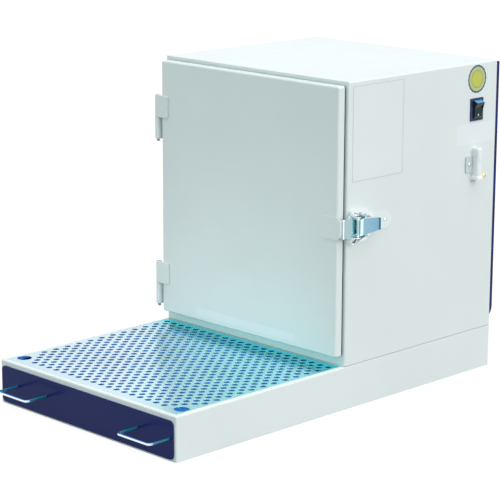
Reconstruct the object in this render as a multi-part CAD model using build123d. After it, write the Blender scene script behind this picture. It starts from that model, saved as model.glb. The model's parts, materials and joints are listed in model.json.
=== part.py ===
from build123d import *
import math
import os

# Desktop downdraft table: a perforated work surface over a dust drawer, with a
# filter and blower cabinet on the rear half of the base.
# Frame: +X to the right seen from the front, +Y to the back, +Z up.
# Origin: centre of the base's underside. Millimetres and degrees.

# Overall sizes
base_width = 400.0
base_depth = 700.0
base_height = 69.0
cabinet_depth = 350.0
cabinet_height = 439.0
sheet = 1.6
fold_radius = 2.5

# A quarter of a full turn
quarter_turn = 90.0

# Sides of small round pieces, of hinge barrels and of hidden pieces
small_sides = 8
barrel_sides = 16
hidden_sides = 12

# Clearances
seat_gap = 0.3
running_gap = 0.05
overrun = 1.0

# Base
drawer_opening_side = 6.0
drawer_opening_sill = 3.5
drawer_opening_head = 10.0
plate_rim = 6.5
ledge_reach = 9.0
ledge_height = 9.0
slide_width = 20.0
slide_inset = 14.0

# Air opening from the base into the cabinet
air_slot_side_room = 50.0
air_slot_depth = 66.0
air_slot_setback = 16.0

# Perforated plate
plate_thickness = 2.0
plate_gap = 0.5
hole_diameter = 10.0
hole_sides = 3
hole_pitch = 17.4
row_pitch = 11.8
first_row_inset = 25.2
last_row_inset = 14.0
hole_side_margin = 10.0
finger_hole_diameter = 23.0
finger_hole_side_inset = 20.7
finger_hole_inset = 30.0
finger_web = 3.8
finger_hole_sides = 16

# Dust drawer
drawer_front_side = 4.4
drawer_front_bottom = 3.0
drawer_front_head = 8.0
drawer_front_corner = 8.0
drawer_front_thickness = 1.6
tray_side_room = 6.5
tray_rear_room = 20.0
tray_head_room = 12.0
tray_wall = 1.2
tray_bottom = 5.0
handle_wire = 4.0
handle_pitch = 69.2
handle_reach = 38.0
handle_rise = 2.0
handle_bend = 6.0
handle_bend_steps = 3
handle_left_inset = 77.1
handle_right_inset = 46.8
handle_screw_head = 7.0
handle_screw_height = 2.8

# Cabinet
frame_flange = 30.0
frame_sill = 36.0
cabinet_bend = 2.5
exhaust_opening_width = 120.0
exhaust_opening_height = 70.0
exhaust_opening_drop = 44.0

# Filter and what holds it
blower_room = 195.0
filter_side_room = 40.0
filter_headroom = 41.0
filter_depth = 60.0
filter_frame_wall = 2.0
filter_lip = 8.0
filter_seal_thickness = 3.0
filter_seal_width = 12.0
filter_lift = 38.0
pleat_count = 14
pleat_thickness = 1.2
pleat_margin = 4.0
shelf_thickness = 1.6
clamp_width = 24.0
clamp_thickness = 3.0
stud_diameter = 6.0
stud_stand_off = 11.0
stud_height_share = 0.36
knob_diameter = 18.0
knob_thickness = 8.0
slot_clearance = 0.5

# Door
door_side_reveal = 5.0
door_top_reveal = 6.0
door_bottom_reveal = 16.0
door_thickness = 13.0
door_gap = 3.0
door_sheet = 1.2
door_fold = 2.5
door_return = 20.0
seal_inset = 9.0
seal_width = 10.0

# Lift-off hinges
hinge_axis_side = 5.5
hinge_axis_ahead = 14.0
hinge_barrel = 10.0
hinge_knuckle = 36.0
hinge_pin = 5.0
hinge_pin_tail = 4.0
hinge_leaf = 3.0
hinge_leaf_reach = 17.0
hinge_flag_reach = 42.0
hinge_low_rise = 63.0
hinge_high_drop = 99.0
hinge_edge = 1.0

# Draw latch
latch_drop = 221.0
latch_plate = 1.5
latch_front_setback = 7.0
latch_head_width = 50.0
latch_head_length = 34.0
latch_tail_width = 27.0
latch_tail_taper = 18.0
latch_tail_end = 99.0
cheek_offset = 15.0
cheek_length = 16.0
latch_pivot_setback = 14.0
latch_pivot_height = 10.0
yoke_pivot_setback = 34.0
yoke_pivot_height = 7.0
rivet_diameter = 4.0
rivet_tail = 1.0
lever_length = 49.0
lever_front_width = 27.0
lever_tail_width = 19.0
lever_depth = 10.0
lever_tail_depth = 5.0
lever_sheet = 1.5
lever_ear_length = 8.3
lever_front_radius = 5.0
yoke_sheet = 2.0
yoke_width = 50.0
yoke_eye_width = 34.0
yoke_tongue_width = 30.0
yoke_web_end = 5.0
yoke_arm_height = 8.0
yoke_curl = 4.0
keeper_thickness = 1.5
keeper_length = 40.0
keeper_width = 35.0
keeper_chamfer = 7.5
keeper_slope_share = 0.68
keeper_past_door = 8.0
keeper_lip = 8.0
screw_head = 6.0
screw_head_height = 1.6

# Blower
blower_stand_off = 40.0
scroll_sheet = 1.5
scroll_width = 62.0
scroll_start_radius = 92.0
scroll_growth = 9.0
scroll_turn = 276.0
scroll_steps = 18
scroll_outlet_height = 130.0
inlet_diameter = 108.0
impeller_diameter = 160.0
impeller_eye = 104.0
impeller_width = 44.0
impeller_sheet = 1.5
blade_count = 9
blade_thickness = 1.5
blade_inner_radius = 50.0
blade_sweep = 32.0
hub_diameter = 30.0
hub_length = 24.0
shaft_diameter = 10.0
shaft_depth = 14.0
motor_diameter = 112.0
motor_length = 62.0
bracket_thickness = 3.0
bracket_width = 40.0
bracket_spread = 136.0
bracket_room = 15.8
bracket_foot = 30.0
duct_wall = 1.5
duct_rise = 2.0

# Rear cover
cover_depth = 9.0
cover_sheet = 1.2
cover_inset = 2.0
cover_lift = 1.0
cover_drop = 3.2
cover_corner = 30.0
louvre_count = 6
louvre_width = 130.0
louvre_height = 6.0
louvre_pitch = 14.0
cover_screw_inset = 14.0

# Electrical pieces on the right side
switch_back = 49.5
switch_drop = 74.3
bezel_width = 31.0
bezel_height = 36.5
bezel_thickness = 2.0
switch_body_width = 22.0
switch_body_height = 33.0
switch_body_depth = 18.0
rocker_width = 18.5
rocker_height = 31.0
rocker_out = 8.5
rocker_in = 3.0
rocker_root = 4.0
rocker_end_gap = 0.5
rocker_end_slope = 3.6
rocker_flare_share = 0.2
rocker_pivot_depth = 1.7
rocker_pin = 2.4
rocker_pin_reach = 1.2
hood_back = 51.0
hood_drop = 181.0
hood_width = 13.0
hood_height = 46.0
hood_depth = 13.5
hood_wall = 1.5
hood_bevel = 2.0
hood_steps = 10
hood_flange_width = 16.0
hood_flange_height = 27.0
hood_flange_rise = 6.0
hood_flange_thickness = 2.5
hood_collar_height = 6.0
hood_collar_wall = 1.5
earth_screw_back = 26.0
earth_screw_drop = 4.0
earth_screw_head = 8.0
washer_thickness = 0.8
terminal_width = 84.0
terminal_height = 110.0
terminal_depth = 42.0
terminal_wall = 1.5
terminal_setback = 13.0

# Places worked out from the sizes above
right = base_width / 2
left = -right
front = -base_depth / 2
back = base_depth / 2
cabinet_front = back - cabinet_depth
cabinet_top = base_height + cabinet_height
deck_under = base_height - sheet
plate_under = base_height - plate_thickness
finger_hole_x = right - finger_hole_side_inset
finger_hole_y = front + finger_hole_inset
air_slot_front = cabinet_front + air_slot_setback
air_slot_back = air_slot_front + air_slot_depth
filter_wall_front = back - blower_room
filter_width = base_width - 2 * filter_side_room
filter_back = filter_wall_front - filter_seal_thickness
filter_front = filter_back - filter_depth
filter_bottom = base_height + filter_lift
filter_top = cabinet_top - filter_headroom
filter_centre = (filter_bottom + filter_top) / 2
stud_x = filter_width / 2 + stud_stand_off
door_back = cabinet_front - door_gap
door_front = door_back - door_thickness
door_left = left + door_side_reveal
door_right = right - door_side_reveal
door_bottom = base_height + door_bottom_reveal
door_top = cabinet_top - door_top_reveal
hinge_x = left - hinge_axis_side
hinge_y = cabinet_front - hinge_axis_ahead
hinge_low_centre = base_height + hinge_low_rise
hinge_high_centre = cabinet_top - hinge_high_drop
latch_level = cabinet_top - latch_drop
latch_front = cabinet_front + latch_front_setback
latch_pivot_y = cabinet_front + latch_pivot_setback
latch_pivot_x = right + latch_pivot_height
yoke_pivot_y = cabinet_front + yoke_pivot_setback
yoke_pivot_x = right + yoke_pivot_height
keeper_tip = door_right + keeper_past_door
lever_front = latch_pivot_y - rivet_diameter
lever_wall = lever_front + lever_ear_length
lever_face = latch_pivot_x + rivet_diameter
scroll_front = filter_wall_front + sheet + blower_stand_off
scroll_back = scroll_front + scroll_width
drawer_front_top = base_height - drawer_front_head
handle_level = (drawer_front_bottom + drawer_front_top) / 2 + handle_rise
handle_centre_left = left + handle_left_inset
handle_centre_right = right - handle_right_inset
tray_front = front - seat_gap
tray_back = cabinet_front - tray_rear_room
tray_top = base_height - tray_head_room
tray_left = left + tray_side_room
tray_right = right - tray_side_room
exhaust_top = cabinet_top - exhaust_opening_drop
exhaust_bottom = exhaust_top - exhaust_opening_height
scroll_reach = scroll_start_radius + scroll_growth * scroll_turn / quarter_turn
outlet_left = -scroll_reach
outlet_right = outlet_left + exhaust_opening_width
outlet_top = exhaust_bottom - duct_rise
blower_level = outlet_top - scroll_outlet_height
cover_front = back
cover_back = back + cover_depth
switch_y = back - switch_back
switch_level = cabinet_top - switch_drop
rocker_pivot_x = right + bezel_thickness - rocker_pivot_depth
hood_y = back - hood_back
hood_bottom = cabinet_top - hood_drop
earth_screw_level = hood_bottom - earth_screw_drop


def block(x0, x1, y0, y1, z0, z1):
    """A rectangular solid between two corners."""
    middle = Pos((x0 + x1) / 2, (y0 + y1) / 2, (z0 + z1) / 2)
    return middle * Box(x1 - x0, y1 - y0, z1 - z0)


def rod(x, y, z, direction, length, diameter):
    """A round bar from a point along a direction."""
    plane = Plane(origin=(x, y, z), z_dir=direction)
    base = (Align.CENTER, Align.CENTER, Align.MIN)
    return plane * Cylinder(diameter / 2, length, align=base)


def hexagon(x, y, z, direction, length, across):
    """A six-sided bar from a point along a direction."""
    plane = Plane(origin=(x, y, z), z_dir=direction)
    return extrude(plane * RegularPolygon(across / 2, 6, major_radius=False), length)


def bar(x, y, z, direction, length, diameter, sides):
    """A many-sided bar that fits inside a round one of the same diameter."""
    plane = Plane(origin=(x, y, z), z_dir=direction)
    return extrude(plane * RegularPolygon(diameter / 2, sides), length)


def socket(x, y, z, direction, length, diameter, sides):
    """The tool for a many-sided hole whose flats just touch a round pin."""
    plane = Plane(origin=(x, y, z), z_dir=direction)
    return extrude(plane * RegularPolygon(diameter / 2, sides, major_radius=False), length)


def prism(plane, points, length):
    """A straight-sided outline drawn on a plane and given a thickness."""
    return extrude(plane * make_face(Polyline(*points, close=True)), length)


def upright_plane(y):
    """A plane seen from the front, whose first axis is +X and second is +Z."""
    return Plane(origin=(0, y, 0), x_dir=(1, 0, 0), z_dir=(0, -1, 0))


def side_plane(x):
    """A plane seen from the right, whose first axis is +Y and second is +Z."""
    return Plane(origin=(x, 0, 0), x_dir=(0, 1, 0), z_dir=(1, 0, 0))


def level_plane(z):
    """A horizontal plane whose axes are +X and +Y."""
    return Plane(origin=(0, 0, z))


def frame(x0, x1, y0, y1, z0, z1, width):
    """A flat ring in the XZ plane with bars of one width."""
    bars = block(x0, x1, y0, y1, z0, z1)
    hole = block(x0 + width, x1 - width, y0 - overrun, y1 + overrun, z0 + width, z1 - width)
    return bars - hole


def save(node, *solids):
    """Write one node, which holds one or more separate solids."""
    pieces = [solid for shape in solids for solid in shape.solids()]
    shape = pieces[0] if len(pieces) == 1 else Compound(children=pieces)
    export_step(shape, os.path.join("parts", node + ".step"))


def edges_at(shape, along, *tests):
    """Straight edges parallel to an axis whose centres pass every test."""
    chosen = shape.edges().filter_by(GeomType.LINE).filter_by(along)
    return [edge for edge in chosen if all(test(edge.center()) for test in tests)]


def near(value, target):
    return abs(value - target) < sheet / 2


# Base

def make_base_shell():
    """Folded housing, open underneath, with openings for drawer, plate and air."""
    outer = block(left, right, front, back, 0, base_height)
    rounded = edges_at(outer, Axis.Y, lambda c: near(c.Z, base_height))
    rounded += edges_at(outer, Axis.X, lambda c: near(c.Z, base_height), lambda c: near(c.Y, front))
    rounded += edges_at(outer, Axis.Z, lambda c: near(c.Y, front))
    outer = fillet(rounded, fold_radius)
    hollow = block(left + sheet, right - sheet, front + sheet, back - sheet, -overrun, deck_under)
    drawer_opening = block(
        left + drawer_opening_side,
        right - drawer_opening_side,
        front - overrun,
        front + sheet + overrun,
        drawer_opening_sill,
        base_height - drawer_opening_head,
    )
    plate_opening = block(
        left + plate_rim,
        right - plate_rim,
        front + plate_rim,
        cabinet_front - air_margin(),
        deck_under - overrun,
        base_height + overrun,
    )
    return outer - hollow - drawer_opening - plate_opening - air_slot()


def air_margin():
    """Strip of deck between the plate opening and the cabinet's front face."""
    return door_gap - plate_gap


def air_slot():
    """The opening that lets dusty air rise from the base into the cabinet."""
    half = base_width / 2 - air_slot_side_room
    top = base_height + sheet + overrun
    return block(-half, half, air_slot_front, air_slot_back, deck_under - overrun, top)


def make_base_floor():
    """Flat bottom sheet between the walls of the base."""
    return block(left + sheet, right - sheet, front + sheet, back - sheet, 0, sheet)


def make_plate_ledges():
    """Three angle strips on the walls of the base, just under the plate."""
    top = plate_under - seat_gap
    low = top - ledge_height
    inner = plate_rim + ledge_reach
    rear = cabinet_front - air_margin()
    strips = []
    for side in (-1, 1):
        wall = side * (right - sheet)
        edge = side * (right - inner)
        skin = side * (right - sheet - sheet)
        strip = block(min(wall, edge), max(wall, edge), front + inner, rear, top - sheet, top)
        strip += block(min(wall, skin), max(wall, skin), front + inner, rear, low, top)
        strips.append(strip)
    head = block(left + sheet, right - sheet, front + sheet, front + inner - seat_gap, top - sheet, top)
    return strips + [head]


def make_drawer_slides():
    """Two smooth strips on the floor that carry the drawer tray."""
    strips = []
    for side in (-1, 1):
        inner = side * (right - slide_inset - slide_width)
        outer = side * (right - slide_inset)
        top = tray_bottom - seat_gap
        strip = block(min(inner, outer), max(inner, outer), front + sheet, tray_back, sheet, top)
        strips.append(strip)
    return strips


# Lift-out perforated plate

def hole_centres():
    """Centres of the perforations: rows offset by half a pitch, none near a finger hole."""
    keep_out = (finger_hole_diameter + hole_diameter) / 2 + finger_web
    room = 2 * (right - plate_rim - plate_gap - hole_side_margin)
    run = cabinet_front - front - first_row_inset - last_row_inset
    centres = []
    for row in range(1 + int(run / row_pitch)):
        y = front + first_row_inset + row * row_pitch
        count = 1 + int(room / hole_pitch) - row % 2
        for i in range(count):
            x = (i - (count - 1) / 2) * hole_pitch
            reach = math.hypot(abs(x) - finger_hole_x, y - finger_hole_y)
            if reach > keep_out:
                centres.append((x, y))
    return centres


def finger_hole_wire(side):
    """Outline of one finger hole, with flats just outside the real circle."""
    radius = finger_hole_diameter / 2 / math.cos(math.pi / finger_hole_sides)
    turns = [2 * math.pi * i / finger_hole_sides for i in range(finger_hole_sides)]
    x = side * finger_hole_x
    y = finger_hole_y
    return Wire.make_polygon([(x + radius * math.cos(a), y + radius * math.sin(a)) for a in turns])


def make_perforated_plate():
    """Flat plate with staggered perforations and two round finger holes."""
    x1 = right - plate_rim - plate_gap
    y0 = front + plate_rim + plate_gap
    y1 = cabinet_front - air_margin() - plate_gap
    outline = Wire.make_polygon([(-x1, y0), (x1, y0), (x1, y1), (-x1, y1)])
    radius = hole_diameter / 2
    turns = [2 * math.pi * i / hole_sides for i in range(hole_sides)]
    holes = []
    for x, y in hole_centres():
        corners = [(x + radius * math.cos(a), y + radius * math.sin(a)) for a in turns]
        holes.append(Wire.make_polygon(corners))
    for side in (-1, 1):
        holes.append(finger_hole_wire(side))
    face = Face(outline, holes)
    return Pos(0, 0, plate_under) * extrude(face, plate_thickness, dir=(0, 0, 1))


# Dust drawer

def make_drawer_front():
    """Dark front panel with rounded corners, laid over the drawer opening."""
    width = base_width - 2 * drawer_front_side
    height = drawer_front_top - drawer_front_bottom
    middle = (drawer_front_top + drawer_front_bottom) / 2
    outline = Pos(0, middle) * RectangleRounded(width, height, drawer_front_corner)
    return extrude(upright_plane(tray_front) * outline, drawer_front_thickness)


def handle_feet():
    """Where the four handle legs meet the drawer front."""
    feet = []
    for centre in (handle_centre_left, handle_centre_right):
        feet += [centre - handle_pitch / 2, centre + handle_pitch / 2]
    return feet


def make_drawer_tray():
    """Folded tray, open at the top, whose front wall backs the drawer front."""
    tray = block(tray_left, tray_right, tray_front, tray_back, tray_bottom, tray_top)
    return tray - block(
        tray_left + tray_wall,
        tray_right - tray_wall,
        tray_front + tray_wall,
        tray_back - tray_wall,
        tray_bottom + tray_wall,
        tray_top + overrun,
    )


def make_handle(centre):
    """A bent wire handle: one bar between two legs that stand on the drawer front."""
    half = handle_pitch / 2
    foot = tray_front - drawer_front_thickness
    reach = foot - handle_reach
    turns = [math.pi / 2 * i / handle_bend_steps for i in range(handle_bend_steps + 1)]
    inner = half - handle_bend
    bend = [(inner + handle_bend * math.cos(a), reach + handle_bend * (1 - math.sin(a))) for a in turns]
    line = [(half, foot)] + bend
    line += [(-x, y) for x, y in reversed(line)]
    path = Polyline(*[(centre + x, y, handle_level) for x, y in line])
    section = Plane(origin=path @ 0, z_dir=path % 0) * RegularPolygon(handle_wire / 2, small_sides)
    return sweep(section, path, transition=Transition.RIGHT)


def make_handle_screws():
    """Four screw heads inside the tray that hold the handles from behind."""
    y = tray_front + tray_wall
    z = handle_level
    return [hexagon(x, y, z, (0, 1, 0), handle_screw_height, handle_screw_head) for x in handle_feet()]


# Cabinet

def make_cabinet_shell():
    """Folded wrapper with a frame round the door opening, open at the rear and below."""
    outer = block(left, right, cabinet_front, back, base_height, cabinet_top)
    rounded = edges_at(outer, Axis.Y, lambda c: near(c.Z, cabinet_top))
    rounded += edges_at(outer, Axis.Z, lambda c: near(c.Y, cabinet_front))
    outer = fillet(rounded, cabinet_bend)
    hollow = block(
        left + sheet,
        right - sheet,
        cabinet_front + sheet,
        back + overrun,
        base_height - overrun,
        cabinet_top - sheet,
    )
    mouth = block(
        left + frame_flange,
        right - frame_flange,
        cabinet_front - overrun,
        cabinet_front + sheet + overrun,
        base_height + frame_sill,
        cabinet_top - frame_flange,
    )
    return outer - hollow - mouth - switch_hole() - hood_hole()


def switch_hole():
    """The cut-out in the right wall for the body of the rocker switch."""
    half = switch_body_width / 2
    low = switch_level - switch_body_height / 2
    high = switch_level + switch_body_height / 2
    return block(right - sheet - overrun, right + overrun, switch_y - half, switch_y + half, low, high)


def hood_hole():
    """The hole in the right wall behind the inlet hood."""
    half = hood_width / 2 - hood_wall - hood_wall
    low = hood_bottom + hood_height / 2 - half
    return block(right - sheet - overrun, right + overrun, hood_y - half, hood_y + half, low, low + 2 * half)


def make_cabinet_floor():
    """Floor sheet of the cabinet, with the air opening."""
    z1 = base_height + sheet
    floor = block(left + sheet, right - sheet, cabinet_front + sheet, back - sheet, base_height, z1)
    return floor - air_slot()


def make_cabinet_back():
    """Rear sheet inside the wrapper, with the exhaust opening."""
    panel = block(left + sheet, right - sheet, back - sheet, back, base_height, cabinet_top - sheet)
    opening = block(
        outlet_left,
        outlet_right,
        back - sheet - overrun,
        back + overrun,
        exhaust_bottom,
        exhaust_top,
    )
    return panel - opening


def make_filter_wall():
    """Upright wall with the opening that the filter covers."""
    y1 = filter_wall_front + sheet
    bottom = base_height + sheet
    wall = block(left + sheet, right - sheet, filter_wall_front, y1, bottom, cabinet_top - sheet)
    half = filter_width / 2 - filter_seal_width
    opening = block(
        -half,
        half,
        filter_wall_front - overrun,
        y1 + overrun,
        filter_bottom + filter_seal_width,
        filter_top - filter_seal_width,
    )
    return wall - opening


def make_filter_shelf():
    """Folded shelf on the filter wall that the filter stands on."""
    half = filter_width / 2
    top = filter_bottom
    low = top - shelf_thickness
    shelf = block(-half, half, filter_front, filter_wall_front, low, top)
    skirt_top = low - (low - base_height - sheet) / 2
    skirt_back = filter_wall_front - shelf_thickness
    return shelf + block(-half, half, skirt_back, filter_wall_front, skirt_top, low)


def make_filter_frame():
    """Frame of the filter, with a lip on both faces that holds the pleats."""
    half = filter_width / 2
    wall = filter_frame_wall
    body = block(-half, half, filter_front, filter_back, filter_bottom, filter_top)
    body -= block(
        wall - half,
        half - wall,
        filter_front + wall,
        filter_back - wall,
        filter_bottom + wall,
        filter_top - wall,
    )
    window = block(
        wall + filter_lip - half,
        half - wall - filter_lip,
        filter_front - overrun,
        filter_back + overrun,
        filter_bottom + wall + filter_lip,
        filter_top - wall - filter_lip,
    )
    return body - window


def make_filter_pack():
    """Pleated sheet of filter paper, folded to and fro across the frame."""
    half = filter_width / 2 - filter_frame_wall - seat_gap
    y0 = filter_front + filter_frame_wall + pleat_margin
    y1 = filter_back - filter_frame_wall - pleat_margin
    bottom = filter_bottom + filter_frame_wall + seat_gap
    top = filter_top - filter_frame_wall - seat_gap
    step = 2 * half / (2 * pleat_count)
    line = [(-half + i * step, y1 if i % 2 else y0) for i in range(2 * pleat_count + 1)]
    shift = pleat_thickness * math.hypot(step, y1 - y0) / step
    near_side = [(x, y - shift / 2) for x, y in line]
    far_side = [(x, y + shift / 2) for x, y in reversed(line)]
    face = make_face(Polyline(*near_side, *far_side, close=True))
    band = block(-half, half, y0 - pleat_margin, y1 + pleat_margin, bottom, top)
    return extrude(level_plane(bottom) * face, top - bottom) & band


def make_filter_seal():
    """Foam ring between the filter frame and the filter wall."""
    half = filter_width / 2
    return frame(-half, half, filter_back, filter_wall_front, filter_bottom, filter_top, filter_seal_width)


def stud_heights():
    """Levels of the lower and upper studs of the filter clamps."""
    reach = (filter_top - filter_bottom) * stud_height_share
    return [filter_centre - reach, filter_centre + reach]


def make_clamp_bars():
    """Two slotted upright bars that press the filter frame against its seal."""
    half = filter_width / 2
    y0 = filter_front - clamp_thickness
    reach = (stud_diameter + slot_clearance) / 2
    bars = []
    for side in (-1, 1):
        inner = side * (half - filter_frame_wall)
        outer = side * (stud_x + stud_diameter)
        slot = side * (stud_x - reach)
        low = stud_heights()[0] - clamp_width / 2
        high = stud_heights()[1] + clamp_width / 2
        strip = block(min(inner, outer), max(inner, outer), y0, filter_front, low, high)
        past = outer + side * overrun
        for z in stud_heights():
            edges = (min(slot, past), max(slot, past))
            strip -= block(*edges, y0 - overrun, filter_front + overrun, z - reach, z + reach)
        bars.append(strip)
    return bars


def make_clamp_screws():
    """Four hand screws with six-sided knobs, run into the filter wall beside the filter."""
    y0 = filter_front - clamp_thickness
    screws = []
    for side in (-1, 1):
        for z in stud_heights():
            x = side * stud_x
            screw = bar(x, y0, z, (0, 1, 0), filter_wall_front - y0, stud_diameter, small_sides)
            screws.append(screw + hexagon(x, y0, z, (0, -1, 0), knob_thickness, knob_diameter))
    return screws


# Door

def make_door_pan():
    """Folded door pan with rounded front edges and a return flange at the back."""
    pan = block(door_left, door_right, door_front, door_back, door_bottom, door_top)
    rounded = edges_at(pan, Axis.X, lambda c: near(c.Y, door_front))
    rounded += edges_at(pan, Axis.Z, lambda c: near(c.Y, door_front))
    pan = fillet(rounded, door_fold)
    pan -= block(
        door_left + door_sheet,
        door_right - door_sheet,
        door_front + door_sheet,
        door_back - door_sheet,
        door_bottom + door_sheet,
        door_top - door_sheet,
    )
    pan -= block(
        door_left + door_return,
        door_right - door_return,
        door_back - door_sheet - overrun,
        door_back + overrun,
        door_bottom + door_return,
        door_top - door_return,
    )
    return pan


def make_door_seal():
    """Foam strip round the back of the door, just clear of the cabinet frame."""
    return frame(
        door_left + seal_inset,
        door_right - seal_inset,
        door_back,
        cabinet_front - seat_gap,
        door_bottom + seal_inset,
        door_top - seal_inset,
        seal_width,
    )


def hinge_bore(bottom, diameter):
    """The tool for the hole of a hinge pin through one knuckle."""
    length = hinge_knuckle + 2 * overrun
    return socket(hinge_x, hinge_y, bottom - overrun, (0, 0, 1), length, diameter, small_sides)


def make_hinge_door_leaf(centre):
    """Upper half of a hinge: a knuckle and a leaf on the door's front face."""
    y1 = door_front
    y0 = y1 - hinge_leaf
    x1 = door_left + hinge_leaf_reach
    bottom = centre + seat_gap
    top = centre + hinge_knuckle
    leaf = block(hinge_x, x1, y0, y1, bottom, top)
    corner = edges_at(leaf, Axis.Z, lambda c: near(c.X, x1), lambda c: near(c.Y, y0))
    leaf = chamfer(corner, hinge_edge)
    knuckle = bar(hinge_x, hinge_y, bottom, (0, 0, 1), top - bottom, hinge_barrel, barrel_sides)
    return leaf + knuckle - hinge_bore(bottom, hinge_pin + 2 * running_gap)


def make_hinge_cabinet_leaf(centre):
    """Lower half of a hinge: a knuckle and a flag on the cabinet's left side."""
    x1 = left
    x0 = x1 - hinge_leaf
    y1 = hinge_y + hinge_flag_reach
    bottom = centre - hinge_knuckle
    leaf = block(x0, x1, hinge_y, y1, bottom, centre)
    leaf = chamfer(edges_at(leaf, Axis.X, lambda c: near(c.Y, y1)), hinge_leaf)
    knuckle = bar(hinge_x, hinge_y, bottom, (0, 0, 1), hinge_knuckle, hinge_barrel, barrel_sides)
    return leaf + knuckle - hinge_bore(bottom, hinge_pin)


def make_hinge_pin(centre):
    """Hinge pin, fixed in the lower knuckle and standing into the upper one."""
    bottom = centre - hinge_knuckle - hinge_pin_tail
    length = 2 * hinge_knuckle + hinge_pin_tail - hinge_edge
    return rod(hinge_x, hinge_y, bottom, (0, 0, 1), length, hinge_pin)


def make_latch_keeper():
    """Keeper plate welded to the door: it narrows towards a lip past the door's edge."""
    z0 = latch_level - keeper_width / 2
    z1 = latch_level + keeper_width / 2
    x0 = door_right - keeper_length + keeper_past_door
    x2 = keeper_tip
    x1 = x2 - keeper_chamfer
    low = z0 + keeper_slope_share * keeper_chamfer
    high = z1 - keeper_slope_share * keeper_chamfer
    outline = [(x0, z0), (x1, z0), (x2, low), (x2, high), (x1, z1), (x0, z1)]
    plate = prism(upright_plane(door_front), outline, keeper_thickness)
    lip = block(x2 - keeper_thickness, x2, door_front, door_front + keeper_lip, low, high)
    return plate + lip


# Draw latch

def make_latch_base():
    """Base plate of the latch: wide head, narrow tail and two pierced cheeks."""
    head = latch_head_width / 2
    tail = latch_tail_width / 2
    y0 = latch_front
    y1 = y0 + latch_head_length
    y2 = y1 + latch_tail_taper
    y3 = cabinet_front + latch_tail_end - tail
    z = latch_level
    turns = [math.pi * i / small_sides for i in range(small_sides + 1)]
    tip = [(y3 + tail * math.sin(a), z - tail * math.cos(a)) for a in turns]
    points = [(y0, z - head), (y1, z - head), (y2, z - tail)] + tip
    points += [(y2, z + tail), (y1, z + head), (y0, z + head)]
    base = prism(side_plane(right), points, latch_plate)
    for side in (-1, 1):
        inner = z + side * cheek_offset
        outer = inner + side * latch_plate
        base += cheek(min(inner, outer), latch_plate)
    return base


def cheek(z0, thickness):
    """One upright cheek with a cut-off top and the hole for the lever's pin."""
    half = cheek_length / 2
    x0 = right + latch_plate
    x1 = latch_pivot_x
    y = latch_pivot_y
    top = rivet_diameter
    points = [(x0, y - half), (x0, y + half), (x1, y + top), (x1 + top, y + top / 2)]
    points += [(x1 + top, y - top / 2), (x1, y - top)]
    upright = prism(level_plane(z0), points, thickness)
    hole = thickness + 2 * overrun
    return upright - socket(x1, y, z0 - overrun, (0, 0, 1), hole, rivet_diameter, small_sides)


def lever_profile():
    """Side outline of the lever: deep at its pins, shallow at its tail."""
    y0 = lever_front
    y1 = y0 + lever_length
    deep = lever_face - lever_depth
    shallow = lever_face - lever_tail_depth
    turn = yoke_pivot_y + rivet_diameter
    lip = lever_sheet
    tail = [(lever_face, y1), (lever_face + lip, y1 + lip), (lever_face, y1 + lip), (shallow, y1)]
    return [(deep, y0), (lever_face, y0)] + tail + [(deep, turn)]


def lever_plan(inset, start, end):
    """Front outline of the lever between two ends, narrower by the inset at both sides."""
    wide = lever_front_width / 2 - inset
    slim = lever_tail_width / 2 - inset
    z = latch_level
    turn = yoke_pivot_y
    lower = [(start, z - wide), (turn, z - wide), (end, z - slim)]
    return lower + [(end, z + slim), (turn, z + wide), (start, z + wide)]


def lever_corner(radius, half):
    """What lies outside the rounded front edge of the lever, between its ears."""
    x = lever_face - lever_front_radius
    y = lever_wall + lever_front_radius
    z = latch_level
    square = block(x, lever_face + overrun, lever_wall - overrun, y, z - half, z + half)
    return square - rod(x, y, z - half, (0, 0, 1), 2 * half, 2 * radius)


def make_latch_lever():
    """Tapered channel lever with two ears, a rounded front wall and an outward finger lip."""
    z = latch_level
    half = lever_front_width / 2
    gap = half - lever_sheet
    reach = lever_depth + yoke_arm_height
    tail = lever_front + lever_length
    lever = prism(level_plane(z - half), lever_profile(), lever_front_width)
    plan = lever_plan(0, lever_front - overrun, tail + lever_sheet + overrun)
    lever &= prism(side_plane(right), plan, reach)
    past = lever_face + overrun
    lever -= block(right, past, lever_front - overrun, lever_wall, z - gap, z + gap)
    lever -= lever_corner(lever_front_radius, gap)
    inside = lever_plan(lever_sheet, lever_wall + lever_sheet, tail - lever_sheet)
    hollow = prism(side_plane(right), inside, lever_face - lever_sheet - right)
    lever -= hollow - lever_corner(lever_front_radius - lever_sheet, gap)
    low = z - half - overrun
    length = lever_front_width + 2 * overrun
    bore = rivet_diameter + 2 * running_gap
    lever -= socket(latch_pivot_x, latch_pivot_y, low, (0, 0, 1), length, bore, small_sides)
    return lever - socket(yoke_pivot_x, yoke_pivot_y, low, (0, 0, 1), length, bore, small_sides)


def make_lever_pin():
    """Pin through both cheeks that carries the lever."""
    half = cheek_offset + latch_plate + rivet_tail
    z = latch_level - half
    return rod(latch_pivot_x, latch_pivot_y, z, (0, 0, 1), 2 * half, rivet_diameter)


def make_yoke_pin():
    """Pin across the lever, fixed in both arms of the yoke."""
    half = yoke_eye_width / 2 + rivet_tail
    z = latch_level - half
    return rod(yoke_pivot_x, yoke_pivot_y, z, (0, 0, 1), 2 * half, rivet_diameter)


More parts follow.
